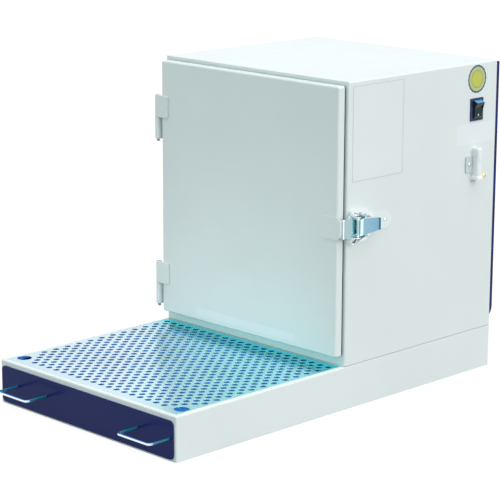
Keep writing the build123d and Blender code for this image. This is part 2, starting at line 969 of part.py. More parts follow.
def make_latch_yoke():
    """Pull yoke: a tongue with a rolled end at the keeper and two arms that close in on the lever."""
    half = yoke_width / 2
    tongue = yoke_tongue_width / 2
    x0 = yoke_pivot_x - yoke_arm_height / 2
    x1 = yoke_pivot_x + yoke_arm_height / 2
    curl_y = door_front + keeper_lip / 2
    curl_x = keeper_tip + seat_gap + yoke_curl / 2
    y1 = cabinet_front + yoke_web_end
    y_mid = (curl_y + y1) / 2
    z = latch_level
    points = [(curl_y, z - tongue), (y_mid, z - tongue), (y1 - yoke_sheet, z - half), (y1, z - half)]
    points += [(y1, z + half), (y1 - yoke_sheet, z + half), (y_mid, z + tongue), (curl_y, z + tongue)]
    yoke = prism(side_plane(curl_x - yoke_sheet / 2), points, yoke_sheet)
    yoke += bar(curl_x, curl_y, z - tongue, (0, 0, 1), yoke_tongue_width, yoke_curl, small_sides)
    eye = yoke_eye_width / 2
    y0 = y1 - yoke_sheet
    y2 = yoke_pivot_y - rivet_diameter
    y3 = yoke_pivot_y + rivet_diameter
    cut = rivet_diameter / 2
    side_view = [(x0, y0), (x1, y0), (x1, y3 - cut), (x1 - cut, y3), (x0 + cut, y3), (x0, y3 - cut)]
    outer_run = [(y0, half), (y1, half), (y2, eye), (y3, eye)]
    inner_run = [(y, reach - yoke_sheet) for y, reach in reversed(outer_run)]
    for side in (-1, 1):
        strip = [(y, z + side * reach) for y, reach in outer_run + inner_run]
        z0 = min(z, z + side * half)
        arm = prism(level_plane(z0), side_view, half) & prism(side_plane(x0), strip, x1 - x0)
        hole = half + 2 * overrun
        arm -= socket(yoke_pivot_x, yoke_pivot_y, z0 - overrun, (0, 0, 1), hole, rivet_diameter, small_sides)
        yoke += arm
    return yoke


def make_latch_screws():
    """Screw heads on the tail of the latch base."""
    y = cabinet_front + latch_tail_end - latch_tail_width / 2
    x = right + latch_plate
    return [hexagon(x, y, latch_level, (1, 0, 0), screw_head_height, screw_head)]


# Blower

def scroll_face(offset):
    """Outline of the scroll seen from the front: a growing spiral, then straight up to the outlet."""
    points = []
    for i in range(scroll_steps + 1):
        turn = scroll_turn * i / scroll_steps
        radius = scroll_start_radius + scroll_growth * turn / quarter_turn + offset
        angle = math.radians(scroll_turn - 2 * quarter_turn - turn)
        points.append((radius * math.cos(angle), blower_level + radius * math.sin(angle)))
    right_wall = outlet_right + offset
    points[0] = (right_wall, points[0][1])
    points += [(points[-1][0], outlet_top), (right_wall, outlet_top)]
    return make_face(Polyline(*points, close=True))


def make_blower_scroll():
    """Spiral housing of the blower, with its outlet upwards on the left."""
    scroll = extrude(upright_plane(scroll_back) * scroll_face(scroll_sheet), scroll_width)
    depth = scroll_width - 2 * scroll_sheet
    scroll -= extrude(upright_plane(scroll_back - scroll_sheet) * scroll_face(0), depth)
    y0 = scroll_front - overrun
    y1 = scroll_back - scroll_sheet - overrun
    thick = scroll_sheet + 2 * overrun
    scroll -= bar(0, y0, blower_level, (0, 1, 0), thick, inlet_diameter, hidden_sides)
    return scroll - bar(0, y1, blower_level, (0, 1, 0), thick, 2 * shaft_diameter, small_sides)


def impeller_front():
    """Front face of the impeller's shroud ring."""
    return scroll_front + (scroll_width - impeller_width) / 2


def make_impeller():
    """Backward-inclined impeller: back disc, shroud ring, flat blades, hub and shaft."""
    y0 = impeller_front()
    y1 = y0 + impeller_width
    z = blower_level
    wheel = bar(0, y1 - impeller_sheet, z, (0, 1, 0), impeller_sheet, impeller_diameter, hidden_sides)
    shroud = bar(0, y0, z, (0, 1, 0), impeller_sheet, impeller_diameter, hidden_sides)
    wheel += shroud - bar(0, y0, z, (0, 1, 0), impeller_sheet, impeller_eye, hidden_sides)
    wheel += bar(0, y1 - hub_length, z, (0, 1, 0), hub_length, hub_diameter, small_sides)
    lead = math.radians(blade_sweep)
    tip = (impeller_diameter / 2 - 2 * blade_thickness)
    start = Vector(blade_inner_radius, 0)
    end = Vector(tip * math.cos(lead), tip * math.sin(lead))
    chord = end - start
    across = Vector(-chord.Y, chord.X).normalized() * blade_thickness
    blade = make_face(Polyline(start, end, end + across, start + across, close=True))
    plane = Plane(origin=(0, y1 - impeller_sheet, z), x_dir=(1, 0, 0), z_dir=(0, -1, 0))
    height = impeller_width - 2 * impeller_sheet
    for i in range(blade_count):
        wheel += extrude(plane * (Rot(0, 0, 360 * i / blade_count) * blade), height)
    shaft_length = scroll_back + shaft_depth - seat_gap - y1
    return wheel + rod(0, y1, z, (0, 1, 0), shaft_length, shaft_diameter)


def make_blower_motor():
    """Motor on the back of the scroll, with a bearing bore for the impeller's shaft."""
    motor = bar(0, scroll_back, blower_level, (0, 1, 0), motor_length, motor_diameter, hidden_sides)
    bore = shaft_diameter + 2 * running_gap
    return motor - socket(0, scroll_back, blower_level, (0, 1, 0), shaft_depth, bore, small_sides)


def make_blower_bracket():
    """Two folded legs from the cabinet floor up the back of the scroll."""
    legs = []
    floor = base_height + sheet
    y0 = scroll_back
    half = bracket_width / 2
    top = blower_level - motor_diameter / 2 - bracket_room
    for side in (-1, 1):
        x = side * bracket_spread / 2
        leg = block(x - half, x + half, y0, y0 + bracket_thickness, floor, top)
        leg += block(x - half, x + half, y0, y0 + bracket_foot, floor, floor + bracket_thickness)
        legs.append(leg)
    return legs


def make_exhaust_duct():
    """Elbow from the top of the scroll to the exhaust opening in the back."""
    x0 = outlet_left
    x1 = outlet_right
    y0 = scroll_front + scroll_sheet
    y1 = back - sheet
    y_knee = scroll_back - scroll_sheet
    z0 = outlet_top
    z1 = exhaust_bottom
    z2 = exhaust_top
    t = duct_wall
    solid = block(x0 - t, x1 + t, y0 - t, y1, z1 - t, z2 + t)
    solid += block(x0 - t, x1 + t, y0 - t, y_knee + t, z0, z2)
    solid -= block(x0, x1, y0, y1 + overrun, z1, z2)
    return solid - block(x0, x1, y0, y_knee, z0 - overrun, z2)


# Rear cover

def make_rear_cover():
    """Dark rear cover: a shallow pan with large lower corners and louvre slots."""
    x1 = right - cover_inset
    z0 = base_height + cover_lift
    z1 = cabinet_top - cover_drop
    pan = block(-x1, x1, cover_front, cover_back, z0, z1)
    lower = edges_at(pan, Axis.Y, lambda c: near(c.Z, z0))
    pan = fillet(lower, cover_corner)
    t = cover_sheet
    hollow = block(t - x1, x1 - t, cover_front - overrun, cover_back - t, z0 + t, z1 - t)
    lower = edges_at(hollow, Axis.Y, lambda c: near(c.Z, z0 + t))
    pan -= fillet(lower, cover_corner - t)
    middle = (outlet_left + outlet_right) / 2
    half = louvre_width / 2
    for i in range(louvre_count):
        z = exhaust_top - i * louvre_pitch
        y0 = cover_back - t - overrun
        pan -= block(middle - half, middle + half, y0, cover_back + overrun, z - louvre_height, z)
    return pan


def make_cover_screws():
    """Screws near the corners of the rear cover."""
    x = right - cover_inset - cover_screw_inset
    low = base_height + cover_corner + cover_screw_inset
    high = cabinet_top - cover_screw_inset
    spots = [(side * x, z) for side in (-1, 1) for z in (low, high)]
    return [hexagon(sx, cover_back, z, (0, 1, 0), screw_head_height, screw_head) for sx, z in spots]


# Electrical pieces

def make_switch_bezel():
    """Rocker switch frame and body, clipped through the right wall."""
    y0 = switch_y - bezel_width / 2
    y1 = switch_y + bezel_width / 2
    z0 = switch_level - bezel_height / 2
    z1 = switch_level + bezel_height / 2
    bezel = block(right, right + bezel_thickness, y0, y1, z0, z1)
    half = switch_body_width / 2
    low = switch_level - switch_body_height / 2
    high = switch_level + switch_body_height / 2
    bezel += block(right - switch_body_depth, right, switch_y - half, switch_y + half, low, high)
    well = rocker_width / 2 + seat_gap
    rise = rocker_height / 2 + seat_gap
    bezel -= block(
        right - rocker_root - rocker_out,
        right + bezel_thickness + overrun,
        switch_y - well,
        switch_y + well,
        switch_level - rise,
        switch_level + rise,
    )
    reach = rocker_width / 2 + rocker_pin_reach + running_gap
    bore = rocker_pin + 2 * running_gap
    y = switch_y - reach
    return bezel - socket(rocker_pivot_x, y, switch_level, (0, 1, 0), 2 * reach, bore, small_sides)


def make_switch_rocker():
    """Rocker with its upper end out, its ends sloped to clear the bezel as it tips."""
    x = right + bezel_thickness
    z = switch_level
    half = rocker_height / 2 - rocker_end_gap
    tip = half - rocker_end_slope
    points = [(x - rocker_root, z), (x, z - half), (x + rocker_in, z - tip)]
    points += [(x + rocker_in, z + rocker_flare_share * half), (x + rocker_out, z + tip), (x, z + half)]
    rocker = prism(upright_plane(switch_y + rocker_width / 2), points, rocker_width)
    reach = rocker_width / 2 + rocker_pin_reach
    return rocker + rod(rocker_pivot_x, switch_y - reach, z, (0, 1, 0), 2 * reach, rocker_pin)


def hood_outline(half, bottom):
    """Outline of the hood seen from the right, with a round top from straight steps."""
    top = hood_bottom + hood_height - hood_width / 2
    turns = [math.pi * i / hood_steps for i in range(hood_steps + 1)]
    arch = [(hood_y + half * math.cos(a), top + half * math.sin(a)) for a in turns]
    return [(hood_y + half, bottom)] + arch + [(hood_y - half, bottom)]


def make_inlet_hood():
    """Hood over the cord inlet, bevelled in front, round at the top and open below."""
    half = hood_width / 2
    hood = prism(side_plane(right), hood_outline(half, hood_bottom), hood_depth)
    face = right + hood_depth
    rim = [e for e in hood.edges() if near(e.center().X, face) and e.center().Z > hood_bottom + hood_wall]
    hood = chamfer(rim, hood_bevel)
    cavity = prism(side_plane(right), hood_outline(half - hood_wall, hood_bottom - overrun), hood_depth)
    cavity = chamfer([e for e in cavity.edges() if near(e.center().X, face)], hood_bevel)
    return hood - Pos(-hood_wall, 0, 0) * cavity


def make_hood_flange():
    """Small clear fixing plate beside the hood."""
    y1 = hood_y - hood_width / 2
    y0 = y1 - hood_flange_width
    z0 = hood_bottom + hood_flange_rise
    z1 = z0 + hood_flange_height
    plate = block(right, right + hood_flange_thickness, y0, y1, z0, z1)
    corners = edges_at(plate, Axis.X, lambda c: near(c.Y, y0))
    return chamfer(corners, hood_flange_thickness)


def make_hood_screw():
    """Screw through the hood's fixing plate."""
    y = hood_y - hood_width / 2 - hood_flange_width / 2
    z = hood_bottom + hood_flange_rise + hood_flange_height / 2
    return hexagon(right + hood_flange_thickness, y, z, (1, 0, 0), screw_head_height, screw_head)


def make_hood_collar():
    """Pale collar round the open lower end of the hood."""
    half = hood_width / 2 + hood_collar_wall
    inner = hood_width / 2 - hood_wall
    z1 = hood_bottom
    z0 = z1 - hood_collar_height
    x1 = right + hood_depth + hood_collar_wall
    collar = block(right, x1, hood_y - half, hood_y + half, z0, z1)
    collar = chamfer(edges_at(collar, Axis.Z, lambda c: near(c.X, x1)), hood_bevel)
    x_inner = right + hood_depth - hood_wall
    return collar - block(right, x_inner, hood_y - inner, hood_y + inner, z0 - overrun, z1 + overrun)


def make_earth_screw():
    """Brass earth screw below the hood."""
    y = back - earth_screw_back
    x = right
    z = earth_screw_level
    washer = bar(x, y, z, (1, 0, 0), washer_thickness, earth_screw_head, small_sides)
    return washer + hexagon(x + washer_thickness, y, z, (1, 0, 0), screw_head_height, screw_head)


def make_terminal_box():
    """Closed box for the wiring, on the inside of the right wall."""
    x1 = right - sheet
    x0 = x1 - terminal_depth
    y1 = back - sheet - terminal_setback
    y0 = y1 - terminal_width
    z1 = hood_bottom + hood_height + terminal_wall
    z0 = z1 - terminal_height
    t = terminal_wall
    box = block(x0, x1, y0, y1, z0, z1)
    return box - block(x0 + t, x1 + overrun, y0 + t, y1 - t, z0 + t, z1 - t)


def main():
    os.makedirs("parts", exist_ok=True)
    save("base_shell", make_base_shell())
    save("base_floor", make_base_floor())
    save("plate_ledges", *make_plate_ledges())
    save("drawer_slides", *make_drawer_slides())
    save("perforated_plate", make_perforated_plate())
    save("drawer_front", make_drawer_front())
    save("drawer_tray", make_drawer_tray())
    save("drawer_handle_left", make_handle(handle_centre_left))
    save("drawer_handle_right", make_handle(handle_centre_right))
    save("handle_screws", *make_handle_screws())
    save("cabinet_shell", make_cabinet_shell())
    save("cabinet_floor", make_cabinet_floor())
    save("cabinet_back", make_cabinet_back())
    save("filter_wall", make_filter_wall())
    save("filter_shelf", make_filter_shelf())
    save("filter_frame", make_filter_frame())
    save("filter_pack", make_filter_pack())
    save("filter_seal", make_filter_seal())
    save("clamp_bars", *make_clamp_bars())
    save("clamp_screws", *make_clamp_screws())
    save("door_pan", make_door_pan())
    save("door_seal", make_door_seal())
    for name, centre in (("upper", hinge_high_centre), ("lower", hinge_low_centre)):
        save("hinge_door_leaf_" + name, make_hinge_door_leaf(centre))
        save("hinge_cabinet_leaf_" + name, make_hinge_cabinet_leaf(centre))
        save("hinge_pin_" + name, make_hinge_pin(centre))
    save("latch_keeper", make_latch_keeper())
    save("latch_base", make_latch_base())
    save("latch_lever", make_latch_lever())
    save("lever_pin", make_lever_pin())
    save("yoke_pin", make_yoke_pin())
    save("latch_yoke", make_latch_yoke())
    save("latch_screws", *make_latch_screws())
    save("blower_scroll", make_blower_scroll())
    save("impeller", make_impeller())
    save("blower_motor", make_blower_motor())
    save("blower_bracket", *make_blower_bracket())
    save("exhaust_duct", make_exhaust_duct())
    save("rear_cover", make_rear_cover())
    save("cover_screws", *make_cover_screws())
    save("switch_bezel", make_switch_bezel())
    save("switch_rocker", make_switch_rocker())
    save("inlet_hood", make_inlet_hood())
    save("hood_flange", make_hood_flange())
    save("hood_screw", make_hood_screw())
    save("hood_collar", make_hood_collar())
    save("earth_screw", make_earth_screw())
    save("terminal_box", make_terminal_box())


main()
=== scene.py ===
"""Downdraft table: finishes, detailed pieces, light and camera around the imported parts.

Lengths in this file are millimetres in the part's frame and become metres in the meshes.
"""

import json
import math

import bmesh
import bpy
from mathutils import Matrix, Vector


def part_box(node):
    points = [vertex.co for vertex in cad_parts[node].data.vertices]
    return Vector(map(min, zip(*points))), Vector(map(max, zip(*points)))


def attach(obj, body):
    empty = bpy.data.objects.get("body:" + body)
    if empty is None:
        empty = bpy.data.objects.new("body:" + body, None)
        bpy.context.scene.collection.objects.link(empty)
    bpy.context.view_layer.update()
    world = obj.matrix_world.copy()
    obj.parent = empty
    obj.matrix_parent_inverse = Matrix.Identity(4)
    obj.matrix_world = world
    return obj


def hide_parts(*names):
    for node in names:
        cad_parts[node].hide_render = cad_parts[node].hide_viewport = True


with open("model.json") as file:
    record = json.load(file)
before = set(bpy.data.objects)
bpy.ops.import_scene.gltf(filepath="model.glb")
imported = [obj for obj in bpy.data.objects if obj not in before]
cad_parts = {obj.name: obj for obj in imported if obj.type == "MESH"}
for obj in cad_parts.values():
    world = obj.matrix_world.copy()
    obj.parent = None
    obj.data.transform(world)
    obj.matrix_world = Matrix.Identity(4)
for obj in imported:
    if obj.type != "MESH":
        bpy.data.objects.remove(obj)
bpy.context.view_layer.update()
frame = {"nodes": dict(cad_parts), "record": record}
cad = frame["nodes"]
MM = 0.001
scene = bpy.context.scene


# Materials

class Finish:
    """A material under construction: a Principled shader and short calls for its texture nodes."""

    def __init__(self, name, colour, rough, metal=0.0, **sockets):
        self.material = bpy.data.materials.new(name)
        self.material.use_nodes = True
        self.tree = self.material.node_tree
        self.shader = self.tree.nodes["Principled BSDF"]
        self.set("Base Color", (*colour, 1.0))
        self.set("Roughness", rough)
        self.set("Metallic", metal)
        for label, value in sockets.items():
            self.set(label.replace("_", " "), value)
        coordinates = self.node("ShaderNodeTexCoord")
        self.place = coordinates.outputs["Object"]
        self.normal = coordinates.outputs["Normal"]
        self.height = None

    def set(self, label, value):
        self.shader.inputs[label].default_value = value

    def node(self, kind, **settings):
        made = self.tree.nodes.new(kind)
        for label, value in settings.items():
            setattr(made, label, value)
        return made

    def link(self, source, target):
        self.tree.links.new(source, target)

    def stretched(self, scale):
        """Object coordinates scaled by a different amount along each axis."""
        mapping = self.node("ShaderNodeMapping")
        mapping.inputs["Scale"].default_value = scale
        self.link(self.place, mapping.inputs["Vector"])
        return mapping.outputs["Vector"]

    def noise(self, scale, detail=2.0, rough=0.5, place=None):
        made = self.node("ShaderNodeTexNoise")
        made.inputs["Scale"].default_value = scale
        made.inputs["Detail"].default_value = detail
        made.inputs["Roughness"].default_value = rough
        self.link(place or self.place, made.inputs["Vector"])
        return made.outputs["Fac"]

    def cells(self, scale):
        made = self.node("ShaderNodeTexVoronoi")
        made.inputs["Scale"].default_value = scale
        self.link(self.place, made.inputs["Vector"])
        return made.outputs["Color"]

    def ramp(self, source, stops, blend="LINEAR"):
        """Colours along a value, each stop a place and a colour."""
        made = self.node("ShaderNodeValToRGB")
        made.color_ramp.interpolation = blend
        points = made.color_ramp.elements
        while len(points) < len(stops):
            points.new(0.5)
        for point, (where, colour) in zip(points, stops):
            point.position = where
            point.color = (*colour, 1.0)
        self.link(source, made.inputs["Fac"])
        return made.outputs["Color"]

    def spread(self, source, low, high):
        """A noise's middle range mapped onto low to high."""
        made = self.node("ShaderNodeMapRange")
        made.inputs["From Min"].default_value = 0.3
        made.inputs["From Max"].default_value = 0.7
        made.inputs["To Min"].default_value = low
        made.inputs["To Max"].default_value = high
        self.link(source, made.inputs["Value"])
        return made.outputs["Result"]

    def along(self, direction, start_mm, end_mm):
        """How far a point lies from start to end along a direction, from 0 to 1."""
        dot = self.node("ShaderNodeVectorMath", operation="DOT_PRODUCT")
        dot.inputs[1].default_value = direction
        self.link(self.place, dot.inputs[0])
        reach = self.node("ShaderNodeMapRange")
        reach.inputs["From Min"].default_value = start_mm * MM
        reach.inputs["From Max"].default_value = end_mm * MM
        self.link(dot.outputs["Value"], reach.inputs["Value"])
        return reach.outputs["Result"]

    def facing(self, direction, start, end):
        """From 0 to 1 as the surface turns towards a direction of its own object."""
        turned_by = self.node("ShaderNodeVectorMath", operation="DOT_PRODUCT")
        turned_by.inputs[1].default_value = Vector(direction).normalized()
        self.link(self.normal, turned_by.inputs[0])
        reach = self.node("ShaderNodeMapRange")
        reach.inputs["From Min"].default_value = start
        reach.inputs["From Max"].default_value = end
        self.link(turned_by.outputs["Value"], reach.inputs["Value"])
        return reach.outputs["Result"]

    def drive(self, share, label, start, end):
        """Let a value from 0 to 1 take a socket from start to end."""
        reach = self.node("ShaderNodeMapRange")
        reach.inputs["To Min"].default_value = start
        reach.inputs["To Max"].default_value = end
        self.link(share, reach.inputs["Value"])
        self.link(reach.outputs["Result"], self.shader.inputs[label])

    def tinted(self, share, colour):
        """Mix a colour over the base colour by a share."""
        base = self.shader.inputs["Base Color"]
        mix = self.node("ShaderNodeMix", data_type="RGBA")
        self.link(share, mix.inputs["Factor"])
        if base.links:
            self.link(base.links[0].from_socket, mix.inputs["A"])
        else:
            mix.inputs["A"].default_value = base.default_value
        mix.inputs["B"].default_value = (*colour, 1.0)
        self.link(mix.outputs["Result"], base)

    def tone(self, source, light, dark):
        """Base colour that wanders between two close colours."""
        self.link(self.ramp(source, [(0.35, dark), (0.65, light)]), self.shader.inputs["Base Color"])

    def rough(self, source, low, high):
        self.link(self.spread(source, low, high), self.shader.inputs["Roughness"])

    def relief(self, source, strength, depth_mm):
        """Fine surface relief, laid over any relief that is already there."""
        made = self.node("ShaderNodeBump")
        made.inputs["Strength"].default_value = strength
        made.inputs["Distance"].default_value = depth_mm * MM
        self.link(source, made.inputs["Height"])
        if self.height:
            self.link(self.height, made.inputs["Normal"])
        self.height = made.outputs["Normal"]
        self.link(self.height, self.shader.inputs["Normal"])


def shade(colour, factor):
    """The same colour, lighter or darker."""
    return tuple(min(1.0, c * factor) for c in colour)


def powder_coat(name, colour, rough, grain=0.10, gloss=0.5, painted_light=()):
    """Baked powder coat: faint drift in tone, perhaps painted light or shade laid on along a direction,
    orange peel and a finer grain.
    """
    finish = Finish(name, colour, rough, Specular_IOR_Level=gloss)
    finish.tone(finish.noise(7.0, 3.0), shade(colour, 1.015), shade(colour, 0.985))
    for direction, start, end, tint in painted_light:
        finish.tinted(finish.along(direction, start, end), tint)
    finish.rough(finish.noise(60.0, 2.0), rough - 0.04, rough + 0.04)
    finish.relief(finish.noise(420.0, 2.0), grain, 0.12)
    finish.relief(finish.noise(1600.0, 1.0), grain / 2, 0.04)
    return finish.material


def plated_sheet(name, colour, rough):
    """Zinc-plated sheet: pale patches of crystal, rolling marks and dull spots."""
    finish = Finish(name, colour, rough, metal=1.0)
    flecks = finish.cells(90.0)
    finish.link(finish.ramp(flecks, [(0.2, shade(colour, 0.88)), (0.8, shade(colour, 1.08))]),
                finish.shader.inputs["Base Color"])
    finish.rough(finish.noise(25.0, 3.0), rough - 0.08, rough + 0.10)
    finish.relief(finish.noise(1.0, 2.0, place=finish.stretched((900.0, 900.0, 30.0))), 0.08, 0.05)
    return finish.material


def brushed_plate(name, colour, rough, painted_light=()):
    """Satin sheet with fine rolling lines across it, cloudy gloss and perhaps painted reflections laid on
    along a direction.
    """
    finish = Finish(name, colour, rough, metal=0.9)
    finish.tone(finish.noise(9.0, 3.0), shade(colour, 1.04), shade(colour, 0.94))
    for direction, start, end, tint in painted_light:
        finish.tinted(finish.along(direction, start, end), tint)
    lines = finish.noise(1.0, 3.0, place=finish.stretched((40.0, 2200.0, 2200.0)))
    finish.rough(lines, rough - 0.05, rough + 0.08)
    finish.relief(lines, 0.05, 0.02)
    return finish.material


def bright_metal(name, colour, rough, along, wear=0.06, glints=(), dull=None):
    """Plated metal with hair-fine polishing lines along one axis, painted reflections and highlights (its
    glints) and a dull end that is less metallic.
    """
    finish = Finish(name, colour, rough, metal=1.0)
    if dull:
        finish.drive(finish.along(*dull), "Metallic", 1.0, 0.1)
    lines = finish.noise(1.0, 3.0, place=finish.stretched(along))
    finish.tone(finish.noise(40.0, 3.0), shade(colour, 1.03), shade(colour, 0.95))
    for kind, direction, start, end, tint in glints:
        finish.tinted(getattr(finish, kind)(direction, start, end), tint)
    finish.rough(lines, max(0.03, rough - wear), rough + wear)
    finish.relief(lines, 0.06, 0.02)
    return finish.material


def moulded(name, colour, rough, grain=0.15, glint=None, **sockets):
    """Moulded plastic: fine spark-eroded grain, uneven gloss and perhaps a painted highlight on the faces
    that turn towards one direction.
    """
    finish = Finish(name, colour, rough, **sockets)
    finish.tone(finish.noise(55.0, 2.0), shade(colour, 1.05), shade(colour, 0.95))
    if glint:
        direction, tint = glint
        finish.tinted(finish.facing(direction, 0.75, 0.90), tint)
    finish.rough(finish.noise(180.0, 2.0), rough - 0.05, rough + 0.06)
    finish.relief(finish.noise(2200.0, 2.0), grain, 0.03)
    return finish.material


def foam_rubber(name, colour):
    """Closed-cell foam with fine pores."""
    finish = Finish(name, colour, 0.9)
    finish.tone(finish.noise(500.0, 3.0), shade(colour, 1.4), shade(colour, 0.6))
    finish.relief(finish.cells(700.0), 0.5, 0.3)
    return finish.material


def filter_paper(name, colour):
    """Filter paper with fibres and a little grey dust in it."""
    finish = Finish(name, colour, 0.95)
    finish.tone(finish.noise(30.0, 4.0), shade(colour, 1.04), shade(colour, 0.86))
    finish.relief(finish.noise(1.0, 3.0, place=finish.stretched((900.0, 900.0, 250.0))), 0.4, 0.15)
    return finish.material


def cast_metal(name, colour):
    """Bare casting with a sandy skin."""
    finish = Finish(name, colour, 0.55, metal=0.9)
    finish.tone(finish.noise(80.0, 3.0), shade(colour, 1.08), shade(colour, 0.88))
    finish.rough(finish.noise(120.0, 2.0), 0.45, 0.65)
    finish.relief(finish.noise(900.0, 3.0), 0.4, 0.15)
    return finish.material


def ringed_print(name, centre_mm, radius_mm):
    """Sticker printed in rings: yellow middle, thin grey ring, paler band and a dark rim."""
    finish = Finish(name, (0.6, 0.6, 0.1), 0.35)
    shift = finish.node("ShaderNodeVectorMath", operation="SUBTRACT")
    shift.inputs[1].default_value = [c * MM for c in centre_mm]
    finish.link(finish.place, shift.inputs[0])
    flat = finish.node("ShaderNodeVectorMath", operation="MULTIPLY")
    flat.inputs[1].default_value = (0.0, 1.0, 1.0)
    finish.link(shift.outputs["Vector"], flat.inputs[0])
    size = finish.node("ShaderNodeVectorMath", operation="LENGTH")
    finish.link(flat.outputs["Vector"], size.inputs[0])
    share = finish.node("ShaderNodeMath", operation="DIVIDE")
    share.inputs[1].default_value = radius_mm * MM
    finish.link(size.outputs["Value"], share.inputs[0])
    yellow = (0.50, 0.53, 0.07)
    band = (0.44, 0.52, 0.20)
    ring = (0.20, 0.27, 0.22)
    rim = (0.03, 0.05, 0.14)
    stops = [(0.0, yellow), (0.58, ring), (0.63, band), (0.87, rim)]
    print_colour = finish.ramp(share.outputs["Value"], stops, "CONSTANT")
    finish.link(print_colour, finish.shader.inputs["Base Color"])
    finish.rough(finish.noise(300.0, 2.0), 0.30, 0.42)
    finish.relief(finish.noise(900.0, 2.0), 0.05, 0.03)
    return finish.material


GREY = (0.71, 0.79, 0.78)
NAVY = (0.008, 0.018, 0.120)
PAINTED_LIGHT_BLUE = (0.22, 0.62, 0.84)
RIGHT = (1.0, 0.0, 0.0)
FRONT = (0.0, -1.0, 0.0)
BACK = (0.0, 1.0, 0.0)
UP = (0.0, 0.0, 1.0)
DOWN = (0.0, 0.0, -1.0)
LINES_ALONG_X = (60.0, 1500.0, 1500.0)
LINES_ALONG_Y = (1500.0, 60.0, 1500.0)
LINES_ALONG_Z = (900.0, 900.0, 60.0)
finishes = {
    "grey_paint": powder_coat("grey_powder_coat", GREY, 0.36),
    # The plate's blue-green towards the back and its deep teal band by the door are painted reflections of
    # the door and of the shade under its lower edge.
    "plate_steel": brushed_plate("plate_sheet", (0.62, 0.81, 0.90), 0.20, painted_light=[
        ((1.0, 1.0, 0.0), -280.0, -40.0, (0.44, 0.88, 0.94)),
        (BACK, -60.0, -15.0, (0.03, 0.70, 0.80))]),
    # The tray turns paler towards the door: painted light, so that the holes there show lighter.
    "tray_blue": powder_coat("tray_coat", (0.02, 0.37, 0.84), 0.45, gloss=0.15, painted_light=[
        (BACK, -130.0, -40.0, PAINTED_LIGHT_BLUE)]),
    "blue_paint": powder_coat("navy_coat", NAVY, 0.22, 0.06, gloss=0.12),
    "steel": plated_sheet("zinc_sheet", (0.62, 0.64, 0.65), 0.38),
    "bright": bright_metal("nickel_plate", (0.80, 0.82, 0.84), 0.16, LINES_ALONG_X),
    # The lever's blue and all its glints are painted reflections and highlights: a darker back half, a bright
    # rounded corner, a pale top, a cyan front and a dark band at the tail.
    "latch_blue": bright_metal("lever_plate", (0.27, 0.47, 0.58), 0.20, (1500.0, 80.0, 1500.0), glints=[
        ("along", BACK, 25.0, 55.0, (0.21, 0.42, 0.54)),
        ("facing", (1.0, -1.0, 0.0), 0.80, 0.93, (0.80, 0.91, 0.98)),
        ("facing", UP, 0.70, 0.90, (0.95, 0.96, 0.96)),
        ("facing", FRONT, 0.85, 0.97, (0.44, 1.0, 1.0)),
        ("along", BACK, 56.2, 57.4, (0.04, 0.17, 0.27))]),
    "black_plastic": moulded("black_moulding", (0.012, 0.012, 0.02), 0.30, Specular_IOR_Level=0.3),
    "foam": foam_rubber("black_foam", (0.03, 0.03, 0.03)),
    "paper": filter_paper("filter_paper", (0.80, 0.79, 0.72)),
    "clear_plastic": moulded("clear_moulding", (0.90, 0.96, 0.98), 0.18, 0.04, Transmission_Weight=0.12),
    "brass": bright_metal("brass_plate", (0.78, 0.70, 0.28), 0.22, (1200.0, 1200.0, 1200.0)),
    "cast": cast_metal("cast_aluminium", (0.58, 0.59, 0.60)),
}

# Finishes for single pieces, which differ a little from their slot's
SEAL_Y = 301.0
SEAL_Z = 482.0
SEAL_RADIUS = 22.5
seal_print = ringed_print("seal_film", (0, SEAL_Y, SEAL_Z), SEAL_RADIUS)
# The cabinet shell is darker in the lowest millimetre of its foot: painted shade for the joint where it
# stands on the base.
cabinet_coat = powder_coat("cabinet_coat", GREY, 0.36, painted_light=[(DOWN, -70.2, -69.3, (0.30, 0.36, 0.36))])
# The ledges and slides turn paler towards the right: painted light, which shows through the finger holes.
ledge_coat = powder_coat("ledge_coat", (0.0, 0.07, 0.32), 0.45, gloss=0.1, painted_light=[
    (RIGHT, -160.0, 160.0, (0.20, 0.62, 0.84))])
# The wire's blue top is a painted reflection, and its legs carry a painted teal reflection, made less
# metallic so that it shows as colour.
wire_chrome = bright_metal("wire_chrome", (0.86, 0.88, 0.90), 0.12, LINES_ALONG_X, glints=[
    ("facing", UP, 0.35, 0.75, (0.02, 0.18, 0.50)),
    ("along", BACK, -389.0, -383.0, (0.006, 0.15, 0.24))], dull=(BACK, -389.0, -384.0))
# The base plate grows darker towards its tail: a painted reflection.
base_nickel = bright_metal("base_nickel", (0.78, 0.82, 0.84), 0.20, LINES_ALONG_Y, glints=[
    ("along", BACK, 55.0, 64.0, (0.67, 0.74, 0.75))])
# The yoke's web, which faces right, is darker and bluer: a painted reflection.
yoke_nickel = bright_metal("yoke_nickel", (0.88, 0.92, 0.94), 0.18, LINES_ALONG_Y, glints=[
    ("facing", RIGHT, 0.80, 0.95, (0.37, 0.53, 0.56))])
# The rivets' teal is a painted reflection, and the tops of their heads are painted dark blue as shade.
rivet_steel = bright_metal("rivet_steel", (0.40, 0.60, 0.64), 0.25, LINES_ALONG_Z, glints=[
    ("facing", UP, 0.6, 0.9, (0.02, 0.10, 0.26))])
pin_steel = bright_metal("pin_steel", (0.22, 0.26, 0.32), 0.25, LINES_ALONG_Z)
